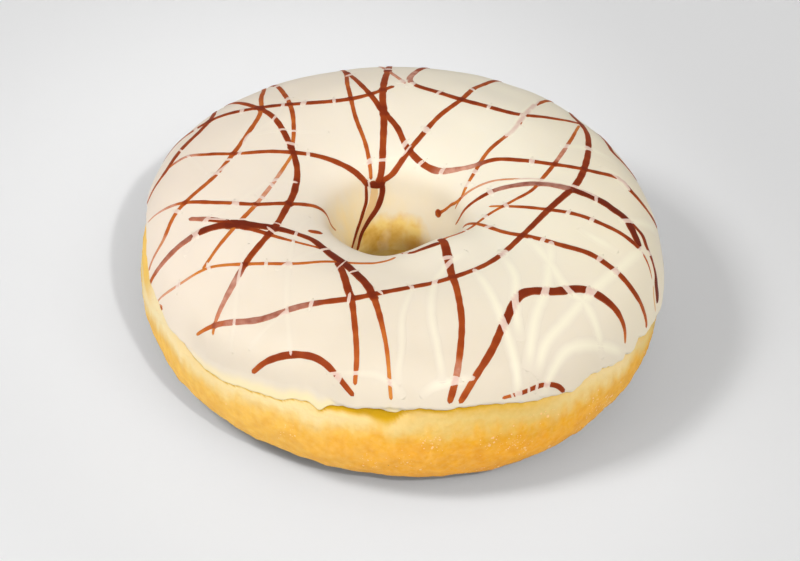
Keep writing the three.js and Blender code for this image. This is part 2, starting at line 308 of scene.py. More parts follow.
def sheet_faces(columns, rows):
    """Four-cornered faces of a sheet that closes both round the ring and round its section"""
    column, row = np.meshgrid(np.arange(columns), np.arange(rows), indexing="ij")
    next_column = (column + 1) % columns
    next_row = (row + 1) % rows
    corners = [column * rows + row, column * rows + next_row]
    corners += [next_column * rows + next_row, next_column * rows + row]
    return np.stack(corners, -1).reshape(-1, 4).tolist()


def make_piece(name, points, faces, measures, finish):
    """Smooth mesh object from points in millimetres, with named values at its points and its finish"""
    mesh = bpy.data.meshes.new(name)
    mesh.from_pydata((points.reshape(-1, 3) * millimetre).tolist(), [], faces)
    for key, values in measures.items():
        held = mesh.attributes.new(key, "FLOAT", "POINT")
        held.data.foreach_set("value", np.asarray(values, np.float32).ravel())
    mesh.shade_smooth()
    mesh.materials.append(finish)
    piece = bpy.data.objects.new(name, mesh)
    bpy.context.scene.collection.objects.link(piece)
    return piece


def colour(red, green, blue):
    """Colour as it looks on a screen, 0 to 255, turned into the light values that a shader takes"""
    seen = np.array([red, green, blue]) / 255
    light = np.where(seen <= 0.04045, seen / 12.92, ((seen + 0.055) / 1.055) ** 2.4)
    return (*light.tolist(), 1.0)


def join(tree, socket, value):
    """Sets a socket to a value, or links it where the value is another node's socket"""
    if isinstance(value, bpy.types.NodeSocket):
        tree.links.new(value, socket)
    else:
        socket.default_value = value


def put(tree, kind, inputs=None, **settings):
    """New node with its settings and the values of its sockets"""
    node = tree.nodes.new(kind)
    for key, value in settings.items():
        setattr(node, key, value)
    for key, value in (inputs or {}).items():
        join(tree, node.inputs[key], value)
    return node


def sums(tree, operation, first, second):
    """Result of a sum on two values, held between 0 and 1 for an operation named with a hold"""
    held = operation.startswith("HELD_")
    node = put(tree, "ShaderNodeMath", {0: first, 1: second}, operation=operation.removeprefix("HELD_"))
    node.use_clamp = held
    return node.outputs[0]


# Places of a mix node's sockets for colours
mix_share = 0
mix_under = 6
mix_over = 7
mix_result = 2


def mixed(tree, share, under, over):
    """Colour between two colours"""
    inputs = {mix_share: share, mix_under: under, mix_over: over}
    return put(tree, "ShaderNodeMix", inputs, data_type="RGBA").outputs[mix_result]


def measure(tree, key):
    """Value that a mesh holds at its points"""
    return put(tree, "ShaderNodeAttribute", attribute_name=key).outputs["Fac"]


def ramp(tree, share, stops):
    """Colour along a run of (place, colour) stops"""
    node = put(tree, "ShaderNodeValToRGB", {"Fac": share})
    line = node.color_ramp.elements
    while len(line) < len(stops):
        line.new(0.5)
    for element, (place, tint) in zip(line, stops):
        element.position = place
        element.color = tint
    return node.outputs["Color"]


def between(tree, value, low, high):
    """How far a value has gone from low to high, from 0 to 1"""
    node = put(tree, "ShaderNodeMapRange", {"Value": value, "From Min": low, "From Max": high})
    return node.outputs[0]


def new_finish(name, roughness, gloss):
    """Material with its node tree and its shader"""
    finish = bpy.data.materials.new(name)
    finish.use_nodes = True
    shader = finish.node_tree.nodes["Principled BSDF"]
    shader.inputs["Roughness"].default_value = roughness
    shader.inputs["Specular IOR Level"].default_value = gloss
    return finish, finish.node_tree, shader


def new_group(name, inputs, output, output_kind="NodeSocketFloat"):
    """Empty node group with float inputs and one output, and its two ends"""
    group = bpy.data.node_groups.new(name, "ShaderNodeTree")
    for key, value in inputs.items():
        socket = group.interface.new_socket(key, in_out="INPUT", socket_type="NodeSocketFloat")
        socket.default_value = value
    group.interface.new_socket(output, in_out="OUTPUT", socket_type=output_kind)
    return group, put(group, "NodeGroupInput"), put(group, "NodeGroupOutput")


def placed(tree, group, **inputs):
    """Output of a node group placed in a material with its own values"""
    node = put(tree, "ShaderNodeGroup", node_tree=group)
    for key, value in inputs.items():
        join(tree, node.inputs[key], value)
    return node.outputs[0]


noise_middle = 0.5


def swing(tree, mask, amount):
    """Value that swings about nothing as a mask swings about its middle, by an amount from end to end"""
    return sums(tree, "MULTIPLY", sums(tree, "SUBTRACT", mask, noise_middle), amount)


# Soft blotches of a stated size, from 0 to 1, for colour that drifts over a surface. An upright value
# below 1 draws them out to streaks that stand up.
blotch_inputs = {"Size": 0.01, "Detail": 2.0, "Contrast": 1.0, "Upright": 1.0}
blotches, start, end = new_group("blotches", blotch_inputs, "Mask")
squeeze = put(blotches, "ShaderNodeCombineXYZ", {"X": 1.0, "Y": 1.0, "Z": start.outputs["Upright"]})
place = put(blotches, "ShaderNodeTexCoord").outputs["Object"]
drawn_out = put(blotches, "ShaderNodeVectorMath", {0: place, 1: squeeze.outputs[0]}, operation="MULTIPLY")
noise = put(blotches, "ShaderNodeTexNoise", {
    "Vector": drawn_out.outputs[0],
    "Scale": sums(blotches, "DIVIDE", 1.0, start.outputs["Size"]),
    "Detail": start.outputs["Detail"],
})
contrasted = swing(blotches, noise.outputs[0], start.outputs["Contrast"])
blotches.links.new(sums(blotches, "HELD_ADD", contrasted, noise_middle), end.inputs["Mask"])

# Fine tooth of a set or fried surface: two sizes of grain as a height
coarse_detail = 3.0
fine_detail = 2.0
fine_height = 0.35
tooth, start, end = new_group("tooth", {"Size": 0.001, "Fineness": 4.0}, "Height")
place = put(tooth, "ShaderNodeTexCoord").outputs["Object"]
coarse_scale = sums(tooth, "DIVIDE", 1.0, start.outputs["Size"])
coarse = put(tooth, "ShaderNodeTexNoise", {"Vector": place, "Scale": coarse_scale, "Detail": coarse_detail})
fine_scale = sums(tooth, "MULTIPLY", coarse_scale, start.outputs["Fineness"])
fine = put(tooth, "ShaderNodeTexNoise", {"Vector": place, "Scale": fine_scale, "Detail": fine_detail})
fine_share = sums(tooth, "MULTIPLY", fine.outputs[0], fine_height)
tooth.links.new(sums(tooth, "ADD", coarse.outputs[0], fine_share), end.inputs["Height"])


def roughen(tree, shader, strength, distance, **grain):
    """Gives a shader's surface a fine tooth"""
    height = placed(tree, tooth, **grain)
    bump = put(tree, "ShaderNodeBump", {"Height": height, "Strength": strength, "Distance": distance})
    tree.links.new(bump.outputs["Normal"], shader.inputs["Normal"])


def soften(shader, weight, radius, scale):
    """Lets light into a shader's surface, as far in red, green and blue as the radius tells"""
    shader.inputs["Subsurface Weight"].default_value = weight
    shader.inputs["Subsurface Radius"].default_value = radius
    shader.inputs["Subsurface Scale"].default_value = scale


# Crust colours by the way below the icing, as a share of the belt ramp's length. The first, ochre stops
# right under the icing's edge are painted shade cast by the edge.
belt_length = 21.0
belt_shifts = [(190, 13, -0.25), (234, 10, 0.05), (-43, 14, 0.035)]
crust_stops = [
    (0.00, colour(222, 170, 40)),
    (0.04, colour(224, 176, 48)),
    (0.06, colour(224, 178, 72)),
    (0.09, colour(221, 180, 84)),
    (0.14, colour(223, 190, 105)),
    (0.21, colour(228, 185, 88)),
    (0.25, colour(235, 181, 66)),
    (0.29, colour(236, 172, 41)),
    (0.34, colour(240, 169, 28)),
    (0.43, colour(244, 169, 37)),
    (0.57, colour(243, 166, 37)),
    (0.67, colour(247, 169, 42)),
    (1.00, colour(238, 156, 44)),
]
sandy_pale = colour(252, 222, 150)
toasted = colour(214, 128, 36)

# The belt is creamier on the left and at the right end, the crust below it more golden there, and at the
# far left the golden top of the ring shows above the belt. At the right end the cream and gold are painted
# light, which lifts the side that the lamps leave in shade. Places are (degrees, spread in degrees, share);
# ends are shares of the belt ramp or, for the golden top, millimetres below the icing.
creamy_side = colour(255, 236, 190)
creamy_and_lit_places = [(238, 34, 0.62), (198, 16, 0.75), (-38, 18, 0.6)]
belt_lower_edge = (0.10, 0.31)
golden_side = colour(255, 206, 102)
golden_and_lit_places = [(215, 48, 0.85), (-32, 20, 0.4)]
golden_top_place = (175, 17)
golden_top_edge = (0.1, 0.55)
golden_top_ends = (4.4, 6.4)
# Painted shade in the hollow and crease under the icing's edge, ochre from light bounced in the yellow crust
hollow_painted_shade = colour(216, 166, 28)
# Colour that the crust shows to bounced light: a dark grey-brown, painted shade that darkens the floor's
# contact shadow and keeps its warm bounce down
crust_bounce_shade = colour(86, 74, 60)
# Painted shade of the deep hole, on the crust inside it and on the icing deepest down
hole_shade_colour = colour(168, 116, 46)
hole_shade_share = 0.45
hole_crust_stops = [
    (0.20, colour(220, 166, 68)),
    (0.50, colour(238, 193, 98)),
    (0.80, colour(248, 216, 132)),
]

# How far drift and fingers move the belt's colours once below its edge, how strong the pale and the toasted
# freckles are, and where the painted shade of the hollow and the hole's wall fade in and out
drift_amount = 0.12
finger_amount = 0.11
wander_from = (0.0, 0.2)
speckle_amount = 0.16
freckle_amount = 0.3
hollow_shade_ends = (0, 0.8)
hole_wall_start = (14, 20)
hole_wall_end = (40, 48)

# Blotchy ochre of the crust in the hole, which also shows through the icing's thin end there
hole_crust, start, end = new_group("hole crust", {"Patch": 0.006}, "Color", "NodeSocketColor")
hole_patch = placed(hole_crust, blotches, Size=start.outputs["Patch"], Detail=4.0, Contrast=2.8)
hole_crust.links.new(ramp(hole_crust, hole_patch, hole_crust_stops), end.inputs["Color"])

dough_finish, tree, shader = new_finish("fried crust", roughness=0.7, gloss=0.06)
drift = placed(tree, blotches, Size=0.007, Detail=3.0, Contrast=2.2)
fingers = placed(tree, blotches, Size=0.0026, Detail=3.0, Contrast=2.4, Upright=0.45)
both = sums(tree, "ADD", swing(tree, drift, drift_amount), swing(tree, fingers, finger_amount))
wander = sums(tree, "MULTIPLY", both, between(tree, measure(tree, "belt_place"), *wander_from))
belt_place = sums(tree, "ADD", measure(tree, "belt_place"), wander)
# Crust ramp; its first ochre stops under the icing's edge are painted shade
crust = ramp(tree, belt_place, crust_stops)
under_belt = between(tree, belt_place, *belt_lower_edge)
in_belt = sums(tree, "SUBTRACT", 1.0, under_belt)
# Creamier and more golden places; at the right end this is painted light on the shaded side
creamed = mixed(tree, sums(tree, "MULTIPLY", measure(tree, "creamy"), in_belt), crust, creamy_side)
low_gold = sums(tree, "MULTIPLY", measure(tree, "golden"), under_belt)
gilded = mixed(tree, sums(tree, "HELD_ADD", low_gold, measure(tree, "golden_top")), creamed, golden_side)
speckle = placed(tree, blotches, Size=0.0009, Detail=2.0, Contrast=3.2)
speckled = mixed(tree, sums(tree, "MULTIPLY", speckle, speckle_amount), gilded, sandy_pale)
freckle = placed(tree, blotches, Size=0.0022, Detail=4.0, Contrast=3.0)
freckle_share = sums(tree, "MULTIPLY", sums(tree, "MULTIPLY", freckle, under_belt), freckle_amount)
freckled = mixed(tree, freckle_share, speckled, toasted)
# The crust inside the hole is mixed towards painted shade
hole_wall = mixed(tree, hole_shade_share, placed(tree, hole_crust, Patch=0.006), hole_shade_colour)
holed = mixed(tree, measure(tree, "in_hole"), freckled, hole_wall)
# Painted shade in the hollow under the icing's edge
hollow_shaded = mixed(tree, measure(tree, "hollow"), holed, hollow_painted_shade)
# Bounced light sees the crust in painted dark shade, so the floor beside it stays darker
light_path = put(tree, "ShaderNodeLightPath")
dimmed = mixed(tree, light_path.outputs["Is Diffuse Ray"], hollow_shaded, crust_bounce_shade)
tree.links.new(dimmed, shader.inputs["Base Color"])
soften(shader, weight=0.08, radius=(1.0, 0.6, 0.2), scale=0.001)
roughen(tree, shader, strength=0.9, distance=0.0002, Size=0.0009, Fineness=3.0)

angles = np.linspace(0, full_turn, dough_columns, endpoint=False)
angle, reach = ring_sheet(angles, dough_rows)
way_in = section_length - np.mod(reach, section_length)
below = np.minimum(below_outer_edge(angle, reach), below_hole_edge(angle, reach))
points = point_above(angle, reach, crust_height(angle, reach))
points[..., 2] = np.maximum(points[..., 2], 0)
golden_top = ease(hump(angle, *golden_top_place), *golden_top_edge) * (1 - ease(below, *golden_top_ends))
dough = make_piece(
    "dough_ring",
    points,
    sheet_faces(*angle.shape),
    {
        "belt_place": below / belt_length + humps_at(angle, belt_shifts),
        "creamy": humps_at(angle, creamy_and_lit_places) * (1 - golden_top),
        "golden": humps_at(angle, golden_and_lit_places) * (1 - golden_top),
        "golden_top": golden_top,
        "hollow": ease(hollow_share(angle, reach), *hollow_shade_ends),
        "in_hole": ease(way_in, *hole_wall_start) * (1 - ease(way_in, *hole_wall_end)),
    },
    dough_finish,
)
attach(dough, "root")
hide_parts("dough")

# The specks on the crust: grains of flour and sugar that fried on, pale and pinkish, and a few burnt crumbs.
# They lie in loose clusters, thickest low at the front right: (clusters, middle and spread in degrees).
speck_places = [(15, -56, 12), (6, -98, 22), (14, 90, 150)]
cluster_specks = 16
cluster_spread = 1.25
lone_specks = 70
speck_below = (11.4, 3.4)
speck_below_ends = (3.0, 18)
speck_radius = (0.06, 0.36)
speck_size_spread = 0.62
speck_raggedness = (0.75, 1.2)
speck_seed = 8
burnt_share = 0.06
burnt_size = 0.6

# Rings of corners from a speck's foot to its top, as shares of its size: (radius, height)
speck_sides = 7
speck_rings = [(1.0, -0.2), (0.85, 0.16), (0.45, 0.26)]

draw = np.random.default_rng(speck_seed)
clusters = [draw.normal(middle, spread, count) for count, middle, spread in speck_places]
angle = np.radians(np.concatenate(clusters))
below = draw.normal(*speck_below, len(angle))
angle = np.repeat(angle, cluster_specks)
below = np.repeat(below, cluster_specks) + draw.normal(0, cluster_spread, len(angle))
angle = angle + draw.normal(0, cluster_spread / swell_full, len(angle))
angle = np.concatenate([angle, draw.uniform(0, full_turn, lone_specks)])
below = np.concatenate([below, draw.normal(*speck_below, lone_specks)])
reach = outer_edge_at(angle) + np.clip(below, *speck_below_ends)
middle = point_above(angle, reach, crust_height(angle, reach))
outward = dough_normal(angle, reach)
burnt = draw.uniform(size=len(angle)) < burnt_share
size = speck_radius[0] * np.exp(np.abs(draw.normal(0, speck_size_spread, len(angle))))
size = np.minimum(size, speck_radius[1]) * np.where(burnt, burnt_size, 1)
around = np.cross(outward, [0, 0, 1])
around /= np.linalg.norm(around, axis=1, keepdims=True)
upward = np.cross(outward, around)
turn = draw.uniform(0, full_turn, (len(angle), 1)) + np.arange(speck_sides) / speck_sides * full_turn
ring_points = []
for width, rise in speck_rings:
    radius = size[:, None] * width * draw.uniform(*speck_raggedness, turn.shape)
    flat = around[:, None] * np.cos(turn)[..., None] + upward[:, None] * np.sin(turn)[..., None]
    lifted = (middle + outward * size[:, None] * rise)[:, None]
    ring_points.append(lifted + flat * radius[..., None])
speck_points = np.stack(ring_points, 1)
ring_corner = np.arange(speck_sides)
next_corner = (ring_corner + 1) % speck_sides
speck_face_list = []
for level in range(len(speck_rings) - 1):
    under = level * speck_sides
    over = under + speck_sides
    corners = [under + ring_corner, under + next_corner, over + next_corner, over + ring_corner]
    speck_face_list += np.stack(corners, -1).tolist()
speck_face_list.append(list(range(speck_sides * (len(speck_rings) - 1), speck_sides * len(speck_rings))))
speck_face_list.append(list(range(speck_sides))[::-1])
speck_corners = speck_sides * len(speck_rings)
speck_faces = [
    [first * speck_corners + corner for corner in face]
    for first in range(len(angle))
    for face in speck_face_list
]

speck_pale = colour(252, 206, 130)
speck_rosy = colour(252, 200, 146)
speck_brown = colour(140, 88, 34)

speck_finish, tree, shader = new_finish("flour and crumb specks", roughness=0.5, gloss=0.4)
speck_tint = placed(tree, blotches, Size=0.003, Detail=1.0, Contrast=2.5)
pale_speck = mixed(tree, speck_tint, speck_pale, speck_rosy)
tree.links.new(mixed(tree, measure(tree, "burnt"), pale_speck, speck_brown), shader.inputs["Base Color"])
specks = make_piece(
    "crust_specks",
    speck_points,
    speck_faces,
    {"burnt": np.repeat(burnt, speck_corners)},
    speck_finish,
)
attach(specks, "root")

# The icing: a pale fondant that the ring's top was dipped in, so it lies about a millimetre thick, rounds
# off at its edge and runs part way down the hole. It set on the crust, and at the front left it ends in a
# thin lip.
icing_top = 1.2
icing_thinning = 0.5
thin_from = 14
thin_full = 26
rim_width = 0.75
hole_rim_width = 6.0
lip_skin = 0.2
lip_rim = 0.35
icing_root = -0.35
edge_root_share = 0.4
icing_swell = 0.03
icing_swell_size = 9
icing_swell_seed = 31

# At the front left the coat slopes softly down to its lip: the middle and spread of that in degrees, how it
# fades in to both sides, and where the slope starts and ends behind the lip
skirt_place = (-125, 22)
skirt_fade = (0.25, 0.6)
skirt_slope = (-0.6, 7.0)

# Rows of the coat's sheet lie close together in a zone at each edge
icing_columns = 720
inner_zone = 1.6
inner_row_count = 9
outer_zone = 4.8
outer_row_count = 20
middle_row_count = 88
under_row_count = 10

# Width of the thin lip round the ring, as (degrees, width)
lip_widths = [
    (212, 0.0), (222, 1.0), (230, 1.7), (240, 1.8), (246, 1.5), (251, 1.8), (253, 0.9), (256, 0.1),
    (260, 0.0), (264.5, 0.2), (266.5, 0.9), (268, 0.7), (269.5, 0.0),
]


def rim_round(inside, width):
    """Rounded shoulder of an edge: 0 at the edge, 1 from a width inside it"""
    return np.sqrt(1 - (1 - np.clip(inside / width, 0, 1)) ** 2)


def lip_at(angle):
    """Width of the icing's thin lip at an angle"""
    places, widths = zip(*lip_widths)
    return np.interp(np.degrees(np.mod(angle, full_turn)), places, widths)


def skirt_at(angle):
    """Where the icing slopes softly down to its lip, 1 at its softest"""
    return ease(hump(angle, *skirt_place), *skirt_fade)


def icing_height(angle, reach):
    """Height of the icing's top above the plain ring"""
    full = icing_top - icing_thinning * ease(-reach, thin_from, thin_full)
    full = full + icing_swell * lumps(dough_point(angle, reach), icing_swell_size, icing_swell_seed)
    outside = np.maximum(outer_edge_at(angle) - reach, 0)
    inside = np.maximum(reach + hole_depth_at(angle), 0)
    behind_lip = np.maximum(outside - lip_at(angle), 0)
    skirt = skirt_at(angle)
    rim = (1 - skirt) * rim_round(behind_lip, rim_width) + skirt * ease(behind_lip, *skirt_slope)
    coat = np.maximum(lip_skin * rim_round(outside, lip_rim), full * rim)
    return ring_swell(angle, reach) + coat * ease(inside, 0, hole_rim_width)


# Colours of the icing's drift over its sides and front, which also paint light and shade
icing_blush = colour(237, 221, 204)
icing_cream = colour(236, 224, 205)
icing_yellow = colour(242, 234, 212)
icing_deep = colour(241, 229, 200)
icing_front_shade = colour(215, 201, 179)
icing_side_ends = (-0.042, 0.042)
icing_side_tint_and_light_stops = [(0.0, icing_blush), (0.72, icing_yellow), (1.0, icing_deep)]
icing_front_shade_ends = (-0.013, -0.040)
icing_front_shade_share = 0.85
icing_roughness = 0.5

# The thin lip is yellower: by what share, over which widths of the lip that comes in, and how it fades
# inwards in widths of the lip, with a little added to the far end
skin_yellow = colour(246, 226, 172)
skin_share = 0.75
skin_lip = (0.2, 0.9)
skin_fade = (0.3, 1.2)
skin_beyond = 0.9

# On the hole's wall the coat is streaked with deeper cream: its share all round, what it gains at a place
# given by its middle and spread in degrees, and the way into the hole over which it comes in. The deeper
# cream is partly the coat's own tint and partly painted warm shade inside the hole; its gain on the left
# wall, which faces away from the lamp, is painted shade.
hole_cream = colour(252, 224, 156)
hole_cream_share = 0.12
hole_shade_gain = 0.75
hole_shade_place = (150, 50)
hole_cream_from = (12, 20)
hole_streak_least = 0.3

# Where the icing in the hole is so thin that the crust shows, as the way into the hole every 30 degrees,
# how that fades, and the place where less of it shows. Its edge is ragged, and it is drier than the coat.
ochre_depth = [26.5, 23.2, 21.8, 21.6, 22.8, 25.2, 28, 27, 25, 24, 24.5, 26]
ochre_fade = (-1.8, 2.4)
ochre_pale_side = (36, 24)
ochre_pale_share = 0.45
ochre_near = (0.0, 0.3)
ochre_raggedness = 0.8
ochre_threshold = 0.25
ochre_strength = 1.4
ochre_dryness = 0.4

# Deepest in the hole the coat is painted darker as shade, a little all round and most at one place
deep_place = (66, 30)
deep_place_share = 0.75
deep_place_from = (23.5, 28)
deep_end_share = 0.4
deep_end_from = (26.5, 29)

# The icing's drift of colour, which its pale drizzle shares: rosier on the left, yellower and lighter on the
# right and duller at the front. The rose is the icing's own tint; the sides and the front are also painted
# light and shade, a little darker on the lit left, lighter on the right that turns from the lamp, and darker
# at the front that the fills light strongly. Its places are metres.
icing_tint_and_light, start, end = new_group("icing tint and light", {"Clouding": 0.5}, "Color", "NodeSocketColor")
place = put(icing_tint_and_light, "ShaderNodeTexCoord").outputs["Object"]
across = put(icing_tint_and_light, "ShaderNodeSeparateXYZ", {"Vector": place})
sides = ramp(icing_tint_and_light, between(icing_tint_and_light, across.outputs["X"], *icing_side_ends), icing_side_tint_and_light_stops)
fore = between(icing_tint_and_light, across.outputs["Y"], *icing_front_shade_ends)
# Darker at the front: painted shade
sided = mixed(icing_tint_and_light, sums(icing_tint_and_light, "MULTIPLY", fore, icing_front_shade_share), sides, icing_front_shade)
cloud = placed(icing_tint_and_light, blotches, Size=0.012, Detail=2.0, Contrast=1.4)
clouding = sums(icing_tint_and_light, "MULTIPLY", cloud, start.outputs["Clouding"])
icing_tint_and_light.links.new(mixed(icing_tint_and_light, clouding, sided, icing_cream), end.inputs["Color"])

icing_finish, tree, shader = new_finish("cream icing", roughness=icing_roughness, gloss=0.22)
streaks = placed(tree, blotches, Size=0.0028, Detail=4.0, Contrast=2.4, Upright=0.2)
streaked = sums(tree, "ADD", streaks, hole_streak_least)
# Streaks of deeper cream in the hole, partly painted shade
wall_share = sums(tree, "MULTIPLY", measure(tree, "in_hole"), streaked)
walled = mixed(tree, wall_share, placed(tree, icing_tint_and_light, Clouding=0.5), hole_cream)
patches = placed(tree, blotches, Size=0.004, Detail=4.0, Contrast=2.4, Upright=0.5)
near_ochre = between(tree, measure(tree, "ochre"), *ochre_near)
ragged = swing(tree, patches, sums(tree, "MULTIPLY", near_ochre, ochre_raggedness))
ragged_edge = sums(tree, "SUBTRACT", sums(tree, "ADD", measure(tree, "ochre"), ragged), ochre_threshold)
ochre_share = sums(tree, "HELD_MULTIPLY", ragged_edge, ochre_strength)
ochred = mixed(tree, ochre_share, walled, placed(tree, hole_crust, Patch=0.0045))
# Painted shade deepest in the hole
deep_shaded = mixed(tree, measure(tree, "deep"), ochred, hole_shade_colour)
skinned = mixed(tree, measure(tree, "thin"), deep_shaded, skin_yellow)
tree.links.new(skinned, shader.inputs["Base Color"])
dry = sums(tree, "ADD", sums(tree, "MULTIPLY", ochre_share, ochre_dryness), icing_roughness)
tree.links.new(dry, shader.inputs["Roughness"])
soften(shader, weight=0.25, radius=(1.0, 0.9, 0.65), scale=0.0006)
roughen(tree, shader, strength=0.08, distance=0.00012, Size=0.004, Fineness=6.0)


def edge_rows(zone, count):
    """Ways in from an edge of the coat, closest together at the edge"""
    return zone * (1 - np.cos(np.linspace(0, math.pi / 2, count, endpoint=False)))[None, :]


angles = np.linspace(0, full_turn, icing_columns, endpoint=False)
inner = -hole_depth_at(angles)[:, None]
outer = outer_edge_at(angles)[:, None]
middle = np.linspace(0, 1, middle_row_count)[None, :]
top_rows = np.concatenate([
    inner + edge_rows(inner_zone, inner_row_count),
    inner + inner_zone + (outer - inner - inner_zone - outer_zone) * middle,
    (outer - edge_rows(outer_zone, outer_row_count))[:, ::-1],
], axis=1)
under_rows = outer + (inner - outer) * np.linspace(0, 1, under_row_count + 2)[None, 1:-1]
rows = np.concatenate([top_rows, under_rows], axis=1)
angle, reach = ring_sheet(angles, rows)
top_count = top_rows.shape[1]
height = icing_height(angle, reach)
height[:, top_count:] = icing_root
height[:, [0, top_count - 1]] = icing_root * edge_root_share
outside = outer_edge_at(angle) - reach
lip = lip_at(angle)
skin_from, skin_to = skin_fade
skin = ease(lip, *skin_lip) * (1 - ease(outside, skin_from * lip, skin_to * lip + skin_beyond))
cream = hole_cream_share + hole_shade_gain * hump(angle, *hole_shade_place)
ochre = ease(-reach - round_list(ochre_depth)(angle), *ochre_fade)
deep = deep_place_share * ease(-reach, *deep_place_from) * hump(angle, *deep_place)
icing = make_piece(
    "icing_coat",
    point_above(angle, reach, height),
    sheet_faces(*angle.shape),
    {
        "thin": skin_share * skin,
        "in_hole": cream * ease(-reach, *hole_cream_from),
        "ochre": ochre * (1 - ochre_pale_share * hump(angle, *ochre_pale_side)),
        "deep": np.maximum(deep, deep_end_share * ease(-reach, *deep_end_from)),
    },
    icing_finish,
)
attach(icing, "root")
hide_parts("icing")

# The brown drizzle: chocolate icing flung from a fork in loose threads over the wet coat, which set flush
# with it. Thick threads are dark, thin ones let the pale icing through and turn orange-brown.

